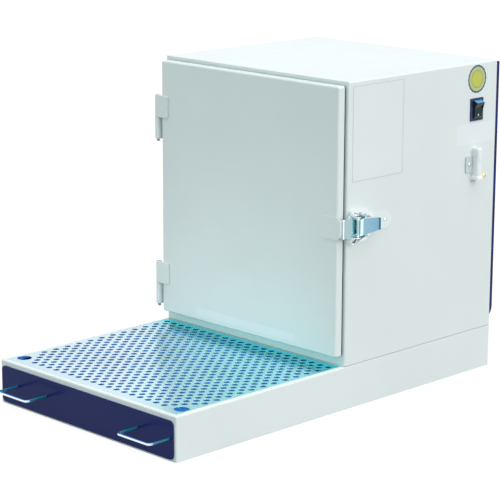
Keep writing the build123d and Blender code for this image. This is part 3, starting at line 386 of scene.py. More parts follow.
# The rocker key's faces that turn up are painted a lighter blue: a painted reflection.
key_black = moulded("key_moulding", (0.008, 0.020, 0.022), 0.16, 0.03,
                    glint=((0.3, 0.0, 1.0), (0.07, 0.30, 0.48)), Specular_IOR_Level=0.2)
dot_white = moulded("dot_inlay", (0.45, 0.66, 0.72), 0.30, 0.02)
bezel_navy = moulded("bezel_moulding", (0.012, 0.020, 0.10), 0.30, Specular_IOR_Level=0.4)
collar_white = moulded("collar_moulding", (0.95, 0.97, 0.98), 0.24, 0.03)
flange_clear = moulded("flange_moulding", (0.64, 0.74, 0.78), 0.18, 0.04, Transmission_Weight=0.15)
# Dark navy foam for the door's seal; the navy also stands for painted shade in the gap round the door.
seal_foam = foam_rubber("seal_foam", (0.012, 0.020, 0.060))
film_clear = powder_coat("film_clear", (0.72, 0.80, 0.80), 0.22, 0.02)
border_grey = powder_coat("film_border", (0.50, 0.58, 0.62), 0.30, 0.02)
label_white = powder_coat("label_film", (0.75, 0.83, 0.85), 0.32, 0.02)
for part in frame["record"]["subparts"]:
    for place in cad[part["node"]].material_slots:
        place.material = finishes[part["material_slot"]]
for node, finish in (("hinge_pin_upper", pin_steel), ("hinge_pin_lower", pin_steel),
                     ("plate_ledges", ledge_coat), ("drawer_slides", ledge_coat),
                     ("cabinet_shell", cabinet_coat)):
    for place in cad[node].material_slots:
        place.material = finish


# Forms: every piece is drawn in millimetres in the part's frame

# How far a cutting form reaches past what it cuts, how near a face a point counts as lying on it, and
# the rounding of sheet edges that are seen from close by
OVER = 1.0
NEAR = 0.1
SOFT_EDGE = 0.35


def box_mm(node):
    """Lowest and highest corner of a CAD node at rest."""
    low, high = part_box(node)
    return Vector(low) / MM, Vector(high) / MM


def middle_of(low, high):
    """Middle of a box in Y and in Z."""
    return (low.y + high.y) / 2, (low.z + high.z) / 2


WALL = box_mm("cabinet_shell")[1].x


def arc(u, v, radius, start, end, steps=8):
    """Points along a circular arc, its angles in degrees."""
    turns = [math.radians(start + (end - start) * i / steps) for i in range(steps + 1)]
    return [(u + radius * math.cos(t), v + radius * math.sin(t)) for t in turns]


def rectangle(u0, u1, v0, v1, inset=0.0):
    """Corners of a rectangle, drawn smaller on all sides by an inset."""
    left, right = u0 + inset, u1 - inset
    bottom, top = v0 + inset, v1 - inset
    return [(left, bottom), (right, bottom), (right, top), (left, top)]


def centred(u, v, half_u, half_v):
    """A rectangle about its middle."""
    return rectangle(u - half_u, u + half_u, v - half_v, v + half_v)


def mirrored(half, level):
    """An outline that is the same below and above a level, from points that tell how far from it they lie."""
    below = [(u, level - v, *own) for u, v, *own in half]
    above = [(u, level + v, *own) for u, v, *own in half]
    return below + above[::-1]


def rounded(corners, radius=0.0, steps=6):
    """An outline with its corners rounded; a corner may end in a radius of its own."""
    outline = []
    for i, corner in enumerate(corners):
        here = Vector(corner[:2])
        own = corner[2] if len(corner) > 2 else radius
        before = (Vector(corners[i - 1][:2]) - here).normalized()
        after = (Vector(corners[(i + 1) % len(corners)][:2]) - here).normalized()
        half = before.angle(after) / 2
        if own == 0:
            outline.append(here)
            continue
        centre = here + (before + after).normalized() * own / math.sin(half)
        start = here + before * own / math.tan(half) - centre
        end = here + after * own / math.tan(half) - centre
        first = math.atan2(start.y, start.x)
        turn = (math.atan2(end.y, end.x) - first + math.pi) % (2 * math.pi) - math.pi
        for k in range(steps + 1):
            angle = first + turn * k / steps
            outline.append(centre + own * Vector((math.cos(angle), math.sin(angle))))
    return outline


def slab(outline, axis, low, high, rim=0.0, segments=2):
    """An outline thickened along X (drawn in Y, Z), Y (in X, Z) or Z (in X, Y), with rounded rims."""
    def at(u, v, w):
        return {"X": (w, u, v), "Y": (u, w, v), "Z": (u, v, w)}[axis]

    form = bmesh.new()
    lows = [form.verts.new(at(u, v, low)) for u, v in outline]
    highs = [form.verts.new(at(u, v, high)) for u, v in outline]
    ends = [form.faces.new(lows[::-1]), form.faces.new(highs)]
    for i in range(len(outline)):
        form.faces.new((lows[i - 1], lows[i], highs[i], highs[i - 1]))
    bmesh.ops.recalc_face_normals(form, faces=form.faces)
    if rim:
        edges = [edge for end in ends for edge in end.edges]
        bmesh.ops.bevel(form, geom=edges, offset=rim, segments=segments, profile=0.5, affect="EDGES")
    return form


def ring_at(form, centre, side, other, radius, count):
    """A closed ring of points, or a single point where the radius is zero."""
    if radius == 0:
        return [form.verts.new(centre)]
    turns = [2 * math.pi * i / count for i in range(count)]
    return [form.verts.new(centre + radius * (side * math.cos(t) + other * math.sin(t))) for t in turns]


def bridge(form, first, second):
    """Faces between two rings of one form; either may be a single point."""
    count = max(len(first), len(second))
    for i in range(count):
        corners = [first[i - 1 if len(first) > 1 else 0], first[i if len(first) > 1 else 0],
                   second[i if len(second) > 1 else 0], second[i - 1 if len(second) > 1 else 0]]
        form.faces.new(list(dict.fromkeys(corners)))


def both_ends(profile, length):
    """A turned profile, given for one end, repeated at the other end."""
    return profile + [(length - far, wide) for far, wide in reversed(profile)]


def turned(profile, centre, axis, sides=40, hollow=False):
    """A profile of (distance along the axis, radius) spun about that axis."""
    form = bmesh.new()
    along = Vector(axis).normalized()
    side = along.orthogonal().normalized()
    other = along.cross(side)
    rings = [ring_at(form, Vector(centre) + along * far, side, other, radius, sides)
             for far, radius in profile]
    if hollow:
        rings.append(rings[0])
    for first, second in zip(rings, rings[1:]):
        bridge(form, first, second)
    bmesh.ops.recalc_face_normals(form, faces=form.faces)
    return form


def rod(start, axis, radius, length):
    """A plain round bar."""
    return turned(both_ends([(0, 0), (0, radius)], length), start, axis, 24)


def tube(path, radius, sides=24):
    """A round wire along a path, closed at both ends."""
    form = bmesh.new()
    points = [Vector(point) for point in path]
    steps = [(b - a).normalized() for a, b in zip(points, points[1:])]
    side = steps[0].orthogonal().normalized()
    rings = []
    for i, here in enumerate(points):
        along = (steps[max(i - 1, 0)] + steps[min(i, len(steps) - 1)]).normalized()
        side = (side - along * side.dot(along)).normalized()
        rings.append(ring_at(form, here, side, along.cross(side), radius, sides))
    for first, second in zip(rings, rings[1:]):
        bridge(form, first, second)
    form.faces.new(rings[0])
    form.faces.new(rings[-1])
    bmesh.ops.recalc_face_normals(form, faces=form.faces)
    return form


def joined(*forms):
    """Several forms as one, left as they are."""
    whole = bmesh.new()
    for form in forms:
        mesh = bpy.data.meshes.new("part")
        form.to_mesh(mesh)
        form.free()
        whole.from_mesh(mesh)
        bpy.data.meshes.remove(mesh)
    return whole


def cut(form, tool, how="DIFFERENCE"):
    """A form with another one taken away from it, or their common part."""
    pair = []
    for made in (form, tool):
        mesh = bpy.data.meshes.new("cut")
        made.to_mesh(mesh)
        made.free()
        pair.append(bpy.data.objects.new("cut", mesh))
        scene.collection.objects.link(pair[-1])
    step = pair[0].modifiers.new("cut", "BOOLEAN")
    step.operation = how
    step.solver = "EXACT"
    step.object = pair[1]
    result = bmesh.new()
    result.from_object(pair[0], bpy.context.evaluated_depsgraph_get())
    for spent in pair:
        mesh = spent.data
        bpy.data.objects.remove(spent)
        bpy.data.meshes.remove(mesh)
    return result


def softened(form, radius, segments=2, least=30.0):
    """Round every edge that is sharper than an angle."""
    bmesh.ops.remove_doubles(form, verts=form.verts, dist=0.002)
    bmesh.ops.dissolve_limit(form, angle_limit=math.radians(0.5), verts=form.verts, edges=form.edges)
    sharp = [edge for edge in form.edges
             if len(edge.link_faces) == 2 and edge.calc_face_angle() > math.radians(least)]
    bmesh.ops.bevel(form, geom=sharp, offset=radius, segments=segments, profile=0.5, affect="EDGES")
    return form


def piece(name, body, slot, form, *nodes, finish=None):
    """Hang a finished form on a body, smooth where it is round, in place of the CAD nodes."""
    mesh = bpy.data.meshes.new(name)
    form.to_mesh(mesh)
    form.free()
    mesh.transform(Matrix.Scale(MM, 4))
    mesh.shade_smooth()
    mesh.set_sharp_from_angle(angle=math.radians(40.0))
    mesh.materials.append(finish or finishes[slot])
    made = bpy.data.objects.new(name, mesh)
    scene.collection.objects.link(made)
    even = made.modifiers.new("even_shading", "WEIGHTED_NORMAL")
    even.keep_sharp = True
    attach(made, body)
    if nodes:
        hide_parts(*nodes)
    return made


# Work surface

HOLE = 10.0
HOLE_PITCH = 17.4
ROW_PITCH = 11.8
FIRST_ROW = 18.2
LAST_ROW = 14.0
SIDE_MARGIN = 10.0
FINGER_HOLE = 23.0
FINGER_SIDE = 13.7
FINGER_FRONT = 23.0
FINGER_WEB = 3.8


def circle(curve, x, y, radius):
    """A round hole in a flat filled curve."""
    reach = radius * 4 / 3 * math.tan(math.pi / 8)
    spline = curve.splines.new("BEZIER")
    spline.bezier_points.add(3)
    spline.use_cyclic_u = True
    for i, point in enumerate(spline.bezier_points):
        turn = -math.pi / 2 * i
        out = Vector((math.cos(turn), math.sin(turn), 0))
        along = Vector((out.y, -out.x, 0))
        centre = Vector((x, y, 0)) + radius * out
        point.co = centre
        point.handle_left = centre - reach * along
        point.handle_right = centre + reach * along


def perforations(low, high):
    """Centres of the staggered holes that keep clear of the finger holes."""
    fingers = [Vector((low.x + FINGER_SIDE, low.y + FINGER_FRONT)),
               Vector((high.x - FINGER_SIDE, low.y + FINGER_FRONT))]
    clear = (FINGER_HOLE + HOLE) / 2 + FINGER_WEB
    rows = int((high.y - LAST_ROW - low.y - FIRST_ROW) / ROW_PITCH) + 1
    room = high.x - low.x - 2 * SIDE_MARGIN
    spots = []
    for row in range(rows):
        y = low.y + FIRST_ROW + row * ROW_PITCH
        count = int(room / HOLE_PITCH) + 1 - row % 2
        for i in range(count):
            spot = Vector(((low.x + high.x) / 2 + (i - (count - 1) / 2) * HOLE_PITCH, y))
            if all((spot - finger).length > clear for finger in fingers):
                spots.append(spot)
    return spots, fingers


def work_surface():
    """Perforated sheet: round holes with a softly rolled edge, and two finger holes."""
    low, high = box_mm("perforated_plate")
    lip = 0.3
    curve = bpy.data.curves.new("sheet", "CURVE")
    curve.dimensions = "2D"
    curve.fill_mode = "BOTH"
    curve.resolution_u = 5
    curve.bevel_depth = lip
    curve.bevel_resolution = 1
    curve.offset = -lip
    curve.extrude = (high.z - low.z) / 2 - lip
    edge = curve.splines.new("POLY")
    corner = 2.0
    outline = rounded(rectangle(low.x, high.x, low.y, high.y), corner, 4)
    edge.points.add(len(outline) - 1)
    edge.use_cyclic_u = True
    for point, (x, y) in zip(edge.points, outline):
        point.co = (x, y, 0, 1)
    spots, fingers = perforations(low, high)
    for spot in spots:
        circle(curve, spot.x, spot.y, HOLE / 2)
    for spot in fingers:
        circle(curve, spot.x, spot.y, FINGER_HOLE / 2)
    drawn = bpy.data.objects.new("sheet", curve)
    scene.collection.objects.link(drawn)
    mesh = bpy.data.meshes.new_from_object(drawn)
    bpy.data.objects.remove(drawn)
    form = bmesh.new()
    form.from_mesh(mesh)
    bpy.data.meshes.remove(mesh)
    bmesh.ops.remove_doubles(form, verts=form.verts, dist=0.001)
    bmesh.ops.translate(form, verts=form.verts, vec=(0, 0, (low.z + high.z) / 2))
    piece("work_surface", "plate", "plate_steel", form, "perforated_plate")


# Drawer and door fittings

def wire_handle(side):
    """Bent wire: two legs out of the drawer front and a bar between them."""
    node = "drawer_handle_" + side
    low, high = box_mm(node)
    radius = (high.z - low.z) / 2
    middle = (low.z + high.z) / 2
    bend = 6.0
    left = low.x + radius
    right = high.x - radius
    front = low.y + radius
    path = [(left, high.y)]
    path += arc(left + bend, front + bend, bend, 180, 270)
    path += arc(right - bend, front + bend, bend, 270, 360)
    path += [(right, high.y)]
    piece("wire_handle_" + side, "drawer", "bright", tube([(x, y, middle) for x, y in path], radius), node,
          finish=wire_chrome)


def hinge(level):
    """Lift-off hinge: a door leaf above, a cabinet leaf below, each with its rolled barrel."""
    radius = 5.0
    bore = 2.6
    leaf = 3.0
    corner = 2.5
    rim = 0.9
    round_off = 1.0
    shoulder = radius - round_off
    for name, body, node in (("door_leaf_", "door", "hinge_door_leaf_" + level),
                             ("cabinet_leaf_", "housing", "hinge_cabinet_leaf_" + level)):
        low, high = box_mm(node)
        x = low.x + radius
        y = low.y + radius
        profile = [(0, bore), (0, shoulder), (round_off - 0.7 * round_off, shoulder + 0.7 * round_off),
                   (round_off, shoulder + round_off)]
        barrel = turned(both_ends(profile, high.z - low.z), (x, y, low.z), UP, hollow=True)
        if body == "door":
            outline = [(x, low.z, 0), (high.x, low.z), (high.x, high.z), (x, high.z, 0)]
            flap = slab(rounded(outline, corner), "Y", low.y, low.y + leaf, rim, 3)
        else:
            outline = [(y, low.z, 0), (high.y, low.z), (high.y, high.z), (y, high.z, 0)]
            flap = slab(rounded(outline, corner), "X", high.x - leaf, high.x, rim, 3)
        piece(name + level, body, "grey_paint", joined(barrel, flap), node)


def door():
    """Folded door pan with soft front edges and corners, hollow behind, its back edges folded in."""
    low, high = box_mm("door_pan")
    sheet = 1.2
    skin = 2.0
    fold = 20.0
    corner = 3.5
    softness = 3.2
    hollow_corner = 3.0
    mouth_corner = 2.0
    pan = slab(rounded(rectangle(low.x, high.x, low.z, high.z), corner), "Y", low.y, high.y)
    front = [edge for edge in pan.edges if all(point.co.y < low.y + NEAR for point in edge.verts)]
    bmesh.ops.bevel(pan, geom=front, offset=softness, segments=6, profile=0.5, affect="EDGES")
    hollow = rounded(rectangle(low.x, high.x, low.z, high.z, sheet), hollow_corner, 4)
    pan = cut(pan, slab(hollow, "Y", low.y + skin, high.y - sheet))
    mouth = rounded(rectangle(low.x, high.x, low.z, high.z, fold), mouth_corner, 4)
    pan = cut(pan, slab(mouth, "Y", high.y - sheet - OVER, high.y + OVER))
    piece("door_skin", "door", "grey_paint", pan, "door_pan")


def edge_seal():
    """Foam round the door's back, out to just inside its edges. The seal is real, but its reach so near the
    edges and its dark navy also stand for painted shade: they make the dark line in the gap between door and
    cabinet.
    """
    door_low, door_high = box_mm("door_pan")
    low, high = box_mm("door_seal")
    lip = 1.0
    width = 10.0
    corner = 3.0
    outside = rounded(rectangle(door_low.x, door_high.x, door_low.z, door_high.z, lip), corner)
    inside = rounded(rectangle(low.x, high.x, low.z, high.z, width), corner)
    ring = cut(slab(outside, "Y", low.y, high.y, 0.4), slab(inside, "Y", low.y - OVER, high.y + OVER))
    piece("edge_seal", "door", "foam", ring, "door_seal", finish=seal_foam)


def keeper():
    """Welded keeper plate that narrows to a lip folded past the door's edge."""
    low, high = box_mm("latch_keeper")
    sheet = 1.5
    bend = 2.0
    rim = 0.4
    slope = 7.5
    inset = 5.1
    root = 4.0
    profile = [(low.x, low.y, rim), (high.x, low.y, bend), (high.x, high.y, rim),
               (high.x - sheet, high.y, rim), (high.x - sheet, low.y + sheet, rim), (low.x, low.y + sheet, 0)]
    bent = slab(rounded(profile), "Z", low.z, high.z)
    face = [(low.x, low.z, root), (high.x - slope, low.z, 2.0), (high.x, low.z + inset, 1.0),
            (high.x, high.z - inset, 1.0), (high.x - slope, high.z, 2.0), (low.x, high.z, root)]
    shape = slab(rounded(face), "Y", low.y - 5 * OVER, high.y + 5 * OVER)
    piece("keeper", "door", "grey_paint", softened(cut(bent, shape, "INTERSECT"), SOFT_EDGE), "latch_keeper")


# Draw latch

PLATE = 1.5
LEVER_DEPTH = 10.0
LEVER_TAIL_DEPTH = 5.0
LEVER_TURN = 16.0
LEVER_HALF = 13.5
LEVER_TAIL_HALF = 9.5


def latch_base():
    """Nickelled base plate with a wide head, a rounded tail and two cheeks."""
    low, high = box_mm("latch_base")
    level = (low.z + high.z) / 2
    head = (high.z - low.z) / 2
    tail = 13.5
    head_end = low.y + 34.0
    tail_start = head_end + 18.0
    outline = [(low.y, head, 3.0), (head_end, head, 6.0), (tail_start, tail, 8.0), (high.y, tail, tail - 0.5)]
    forms = [slab(rounded(mirrored(outline, level)), "X", low.x, low.x + PLATE, 0.4)]
    cheek_inside = 15.0
    cheek_root = low.x + 0.5
    foot_end = low.y + 16.0
    tip_start = low.y + 4.0
    tip_end = low.y + 12.0
    upright = [(cheek_root, low.y, 0), (cheek_root, foot_end, 0),
               (high.x, tip_end, 4.0), (high.x, tip_start, 3.8)]
    for side in (-1, 1):
        near, far = sorted((level + side * cheek_inside, level + side * (cheek_inside + PLATE)))
        forms.append(slab(rounded(upright), "Z", near, far, 0.3))
    piece("latch_plate", "housing", "bright", joined(*forms), "latch_base", finish=base_nickel)


def channel(inset, front, face, tail, level):
    """The lever's channel as a solid; an inset makes it the hollow, smaller and past the open side."""
    deep = face - LEVER_DEPTH - 3.0 * inset
    shallow = face - LEVER_TAIL_DEPTH - 3.0 * inset
    turn = front + LEVER_TURN
    wide = LEVER_HALF - inset
    slim = LEVER_TAIL_HALF - inset
    rim = 0 if inset else 1.3
    profile = [(deep, front + inset, 0), (face - inset, front + inset, 5.0 - inset),
               (face - inset, tail - inset, 0.8), (shallow, tail - inset, 0), (deep, turn, 0)]
    solid = slab(rounded(profile, steps=8), "Z", level - wide, level + wide, rim, 4)
    for point in solid.verts:
        share = min(1.0, max(0.0, (point.co.y - turn) / (tail - turn)))
        point.co.z = level + (point.co.z - level) * (1 - share * (1 - slim / wide))
    return solid


def lever():
    """Tapered channel with a rounded front wall, two ears on its rivet and a turned-out lip."""
    low, high = box_mm("latch_lever")
    level = (low.z + high.z) / 2
    face = high.x - PLATE
    front = low.y + 8.3
    tail = high.y - PLATE
    forms = [cut(channel(0, front, face, tail, level), channel(PLATE, front, face, tail, level))]
    ear_inside = 12.05
    ear_outside = 13.45
    ear_end = front + 6.0
    ear = [(face - LEVER_DEPTH, low.y, 1.0), (face - LEVER_DEPTH, ear_end, 0), (face - PLATE, ear_end, 0),
           (face, front + 2.0, 2.0), (face, low.y, 3.9)]
    for side in (-1, 1):
        near, far = sorted((level + side * ear_inside, level + side * ear_outside))
        forms.append(slab(rounded(ear), "Z", near, far, 0.4))
    lip_half = 9.3
    lip_rim = 0.3
    lip = [(face - 1.6, tail - 1.0, 0), (face - 0.2, tail - 1.2, 0), (high.x, high.y - 0.4, lip_rim),
           (face, high.y, lip_rim)]
    forms.append(slab(rounded(lip, steps=3), "Z", level - lip_half, level + lip_half, lip_rim))
    piece("lever", "lever", "latch_blue", joined(*forms), "latch_lever")


def pull_yoke():
    """Yoke that hooks the keeper: tapered web, rolled end and two arms closing in on the lever."""
    low, high = box_mm("latch_yoke")
    level = (low.z + high.z) / 2
    half = (high.z - low.z) / 2
    sheet = 2.0
    roll = 2.0
    roll_bore = 0.9
    roll_rim = 0.3
    tongue = 15.0
    eye = 17.0
    eye_start = high.y - 8.0
    bar_x = WALL + 5.3
    bar_y = low.y + roll
    bend = bar_y + 17.0
    web = [(bar_y, tongue, 1.0), ((bar_y + bend) / 2, tongue, 6.0), (bend, half, 3.0)]
    forms = [slab(rounded(mirrored(web, level)), "X", bar_x - sheet / 2, bar_x + sheet / 2, 0.4)]
    profile = both_ends([(0, roll_bore), (0, roll - roll_rim), (roll_rim, roll)], 2 * tongue)
    forms.append(turned(profile, (bar_x, bar_y, level - tongue), UP, 32, hollow=True))
    for side in (-1, 1):
        run = [(bend - sheet, half), (bend, half), (eye_start, eye), (high.y, eye), (high.y, eye - sheet),
               (eye_start, eye - sheet), (bend, half - sheet), (bend - sheet, half - sheet)]
        strip = slab([(y, level + side * reach) for y, reach in run], "X", low.x, high.x)
        view = [(low.x, bend - sheet, 1.0), (high.x, bend - sheet, 2.0), (high.x, high.y, 3.9),
                (low.x, high.y, 3.9)]
        shape = slab(rounded(view), "Z", level - half - 5 * OVER, level + half + 5 * OVER)
        forms.append(softened(cut(strip, shape, "INTERSECT"), SOFT_EDGE))
    piece("pull_yoke", "yoke", "bright", joined(*forms), "latch_yoke", finish=yoke_nickel)


def rivet(name, body, node):
    """Round rivet with a low domed head at each end."""
    low, high = box_mm(node)
    radius = (high.x - low.x) / 2
    profile = both_ends([(0, 0), (0.1, 0.6 * radius), (0.5, radius)], high.z - low.z)
    centre = ((low.x + high.x) / 2, (low.y + high.y) / 2, low.z)
    piece(name, body, "bright", turned(profile, centre, UP, 28), node, finish=rivet_steel)


# Screws

SCREW_HEAD = 3.1
EARTH_HEAD = 3.9
SINGLE_HEAD_BOX = 50.0


def pan_head(centre, axis, radius, height):
    """Domed screw head with a cross recess, standing on a surface."""
    profile = [(0, 0), (0, radius), (0.35 * height, radius), (0.75 * height, 0.82 * radius),
               (0.95 * height, 0.5 * radius), (height, 0)]
    head = turned(profile, centre, axis, 28)
    seat = Matrix.Translation(centre) @ Vector(axis).to_track_quat("Z", "Y").to_matrix().to_4x4()
    for turn in (0, math.pi / 2):
        slot = slab(centred(0, 0, 0.55 * radius, 0.11 * radius), "Z", 0.3 * height, 1.5 * height)
        bmesh.ops.transform(slot, matrix=seat @ Matrix.Rotation(turn, 4, "Z"), verts=slot.verts)
        head = cut(head, slot)
    return head


def head_spots(low, high, axis, radius):
    """Feet of a node's screw heads: the middle of a small box, or the four corners of a wide one."""
    if high.x - low.x < SINGLE_HEAD_BOX:
        return [Vector([low[i] if axis[i] else (low[i] + high[i]) / 2 for i in range(3)])]
    return [Vector((x, low.y, z)) for x in (low.x + radius, high.x - radius)
            for z in (low.z + radius, high.z - radius)]


def screw_heads(name, node, axis, radius, slot="steel", finish=None):
    """Pan heads in place of a node's plain ones."""
    low, high = box_mm(node)
    height = (high - low).dot(Vector(axis))
    heads = [pan_head(spot, axis, radius, height) for spot in head_spots(low, high, axis, radius)]
    piece(name, "housing", slot, joined(*heads), node, finish=finish)


# Switch and cord inlet

ROCKER_AXIS = 0.3


def rocker():
    """Rocker with a raised upper end, a soft top edge and an inlaid white dot."""
    low, high = box_mm("switch_rocker")
    middle, level = middle_of(low, high)
    wide = 9.25
    half = (high.z - low.z) / 2
    tip = half - 3.6
    heel = WALL - 2.0
    skin = WALL + 2.0
    face = skin + 3.0
    rim = 0.4
    profile = [(heel, level, 0), (skin, level - half, rim), (face, level - tip, 1.0),
               (face, level + 0.2 * half, 3.0), (high.x, level + tip, 0.5), (skin, level + half, rim)]
    body = slab(rounded(profile, steps=5), "Y", middle - wide, middle + wide, 0.5, 3)
    pin = rod((WALL + ROCKER_AXIS, low.y, level), BACK, 1.2, high.y - low.y)
    piece("rocker_key", "rocker", "black_plastic", joined(body, pin), "switch_rocker", finish=key_black)
    dot = [(0, 0), (0, 1.7), (0.12, 1.6), (0.15, 0)]
    dot_place = (face - 0.05, middle, level - 8.5)
    piece("rocker_dot", "rocker", "black_plastic", turned(dot, dot_place, RIGHT, 24), finish=dot_white)


def bezel():
    """Switch frame with softened edges round the rocker's well, and its body behind the wall."""
    low, high = box_mm("switch_bezel")
    middle, level = middle_of(low, high)
    seat = high.x - 2.0
    body_half = (11.0, 16.5)
    well_half = (9.55, 15.8)
    well_floor = WALL - 12.5
    bore_half = 10.5
    rim = slab(rounded(rectangle(low.y, high.y, low.z, high.z), 1.2), "X", seat, high.x, 0.5, 3)
    body = slab(centred(middle, level, *body_half), "X", low.x, seat)
    forms = []
    for form in (rim, body):
        well = slab(rounded(centred(middle, level, *well_half), 0.6), "X", well_floor, high.x + OVER)
        bore = rod((WALL + ROCKER_AXIS, middle - bore_half, level), BACK, 1.3, 2 * bore_half)
        forms.append(cut(cut(form, well), bore))
    piece("bezel", "housing", "black_plastic", joined(*forms), "switch_bezel", finish=bezel_navy)


def arch(low, high, corner, wall=0.0):
    """Outline in X and Y of a cover on the cabinet's side; with a wall, that of its hollow."""
    back = low.x - OVER if wall else low.x
    front = high.x - wall
    outline = [(back, low.y + wall, 0), (front, low.y + wall, corner),
               (front, high.y - wall, corner), (back, high.y - wall, 0)]
    return rounded(outline, steps=8)


def hood():
    """Translucent hood over the cord's hole, with a soft top."""
    low, high = box_mm("inlet_hood")
    wall = 1.5
    softness = 4.0
    shell = slab(arch(low, high, 4.5), "Z", low.z, high.z)
    tops = [edge for edge in shell.edges if all(point.co.z > high.z - NEAR for point in edge.verts)
            and not all(point.co.x < low.x + NEAR for point in edge.verts)]
    bmesh.ops.bevel(shell, geom=tops, offset=softness, segments=6, profile=0.5, affect="EDGES")
    hollow = slab(arch(low, high, 3.0, wall), "Z", low.z - OVER, high.z - 2 * wall)
    piece("hood", "housing", "clear_plastic", cut(shell, hollow), "inlet_hood")


def flange():
    """The hood's screwed side flange."""
    low, high = box_mm("hood_flange")
    plate = slab(rounded(rectangle(low.y, high.y, low.z, high.z), 3.0), "X", low.x, high.x, 0.7, 3)
    piece("flange", "housing", "clear_plastic", plate, "hood_flange", finish=flange_clear)


def collar():
    """Thick band round the hood's open foot."""
    low, high = box_mm("hood_collar")
    band = slab(arch(low, high, 5.0), "Z", low.z, high.z, 0.8, 3)
    thickness = 3.0
    hole = slab(arch(low, high, thickness, thickness), "Z", low.z - OVER, high.z + OVER)
    piece("collar", "housing", "clear_plastic", cut(band, hole), "hood_collar", finish=collar_white)


# Labels: bare films where the photograph shows printed ones

FILM = 0.15
FILM_CORNER = 1.5
NOTICE = (10.5, 125.0, 355.0, 500.5)
SWITCH_LABEL = (253.0, 345.0, 379.0, 411.0)
DOOR_LABEL = (-114.5, 109.0, 93.0, 106.0)


def side_film(name, place, finish, lift=0.0, border=0.0):
    """A thin label on the cabinet's right wall, or only its border; its place is given in Y and Z."""
    near = WALL + lift
    film = slab(rounded(rectangle(*place), FILM_CORNER), "X", near, near + FILM)
    if border:
        film = cut(film, slab(rounded(rectangle(*place, border), 1.0), "X", near - OVER, near + OVER))
    piece(name, "housing", "grey_paint", film, finish=finish)


def labels():
    """A notice with its border, a label by the switch and one on the door, all of them blank."""
    side_film("notice_film", NOTICE, film_clear)
    side_film("notice_border", NOTICE, border_grey, lift=FILM, border=0.9)
    side_film("switch_label", SWITCH_LABEL, label_white)
    front = box_mm("door_pan")[0].y
    strip = slab(rounded(rectangle(*DOOR_LABEL), FILM_CORNER), "Y", front - FILM, front)
    piece("door_label", "door", "grey_paint", strip, finish=label_white)


def seal():
    """Round sticker with a scalloped dark rim; its rings are part of the finish."""
    lobes = 18
    scallop = 0.7
    steps = 8 * lobes
    outline = []
    for i in range(steps):
        turn = 2 * math.pi * i / steps
        reach = SEAL_RADIUS - scallop + scallop * abs(math.cos(lobes * turn / 2))
        outline.append((SEAL_Y + reach * math.cos(turn), SEAL_Z + reach * math.sin(turn)))
    piece("round_seal", "housing", "brass", slab(outline, "X", WALL, WALL + FILM), finish=seal_print)


work_surface()
for side in ("left", "right"):
    wire_handle(side)
for level in ("upper", "lower"):
    hinge(level)
door()
edge_seal()
keeper()
latch_base()
lever()
pull_yoke()
rivet("lever_rivet", "housing", "lever_pin")
rivet("yoke_rivet", "yoke", "yoke_pin")
rocker()
bezel()
hood()
flange()
collar()
screw_heads("latch_screw", "latch_screws", RIGHT, SCREW_HEAD, finish=base_nickel)
screw_heads("flange_screw", "hood_screw", RIGHT, SCREW_HEAD)
screw_heads("earth_head", "earth_screw", RIGHT, EARTH_HEAD, "brass")
screw_heads("cover_heads", "cover_screws", BACK, SCREW_HEAD)
labels()
seal()


# Floor, background and light

def seen_by(tree, *rays):
    """1 for the named kinds of rays, 0 for all others."""
    path = tree.nodes.new("ShaderNodeLightPath")
    seen = path.outputs[rays[0]]
    for ray in rays[1:]:
        either = tree.nodes.new("ShaderNodeMath")
        either.operation = "MAXIMUM"
        tree.links.new(seen, either.inputs[0])
        tree.links.new(path.outputs[ray], either.inputs[1])
        seen = either.outputs[0]
    return seen


def build_world():
    """White to the camera and in reflections, a plain grey sky as light."""
    world = bpy.data.worlds.new("studio")
    scene.world = world
    world.use_nodes = True
    tree = world.node_tree
    tree.nodes.clear()
    sky = tree.nodes.new("ShaderNodeBackground")
    sky.inputs["Color"].default_value = (0.96, 0.98, 1.0, 1.0)
    sky.inputs["Strength"].default_value = 0.45
    white = tree.nodes.new("ShaderNodeBackground")
    white.inputs["Color"].default_value = (1.0, 1.0, 1.0, 1.0)
    mix = tree.nodes.new("ShaderNodeMixShader")
    out = tree.nodes.new("ShaderNodeOutputWorld")
    tree.links.new(seen_by(tree, "Is Camera Ray", "Is Glossy Ray", "Is Transmission Ray"), mix.inputs["Fac"])
    tree.links.new(sky.outputs[0], mix.inputs[1])
    tree.links.new(white.outputs[0], mix.inputs[2])
    tree.links.new(mix.outputs[0], out.inputs["Surface"])


def build_floor():
    """A wide pale floor that keeps the table's soft shadow and glows only where it is seen or mirrored."""
    half = 12.0
    mesh = bpy.data.meshes.new("floor")
    mesh.from_pydata([(x, y, 0) for x, y in centred(0, 0, half, half)], [], [(0, 1, 2, 3)])
    floor = bpy.data.objects.new("floor", mesh)
    scene.collection.objects.link(floor)
    paint = Finish("floor_white", (0.25, 0.25, 0.25), 0.9)
    paint.set("Specular IOR Level", 0.0)
    glow = paint.node("ShaderNodeEmission")
    glow.inputs["Strength"].default_value = 0.80
    unlit = paint.node("ShaderNodeEmission")
    unlit.inputs["Strength"].default_value = 0.0
    where_seen = paint.node("ShaderNodeMixShader")
    paint.link(seen_by(paint.tree, "Is Camera Ray", "Is Glossy Ray"), where_seen.inputs["Fac"])
    paint.link(unlit.outputs[0], where_seen.inputs[1])
    paint.link(glow.outputs[0], where_seen.inputs[2])
    both = paint.node("ShaderNodeAddShader")
    paint.link(paint.shader.outputs[0], both.inputs[0])
    paint.link(where_seen.outputs[0], both.inputs[1])
    paint.link(both.outputs[0], paint.tree.nodes["Material Output"].inputs["Surface"])
    mesh.materials.append(paint.material)


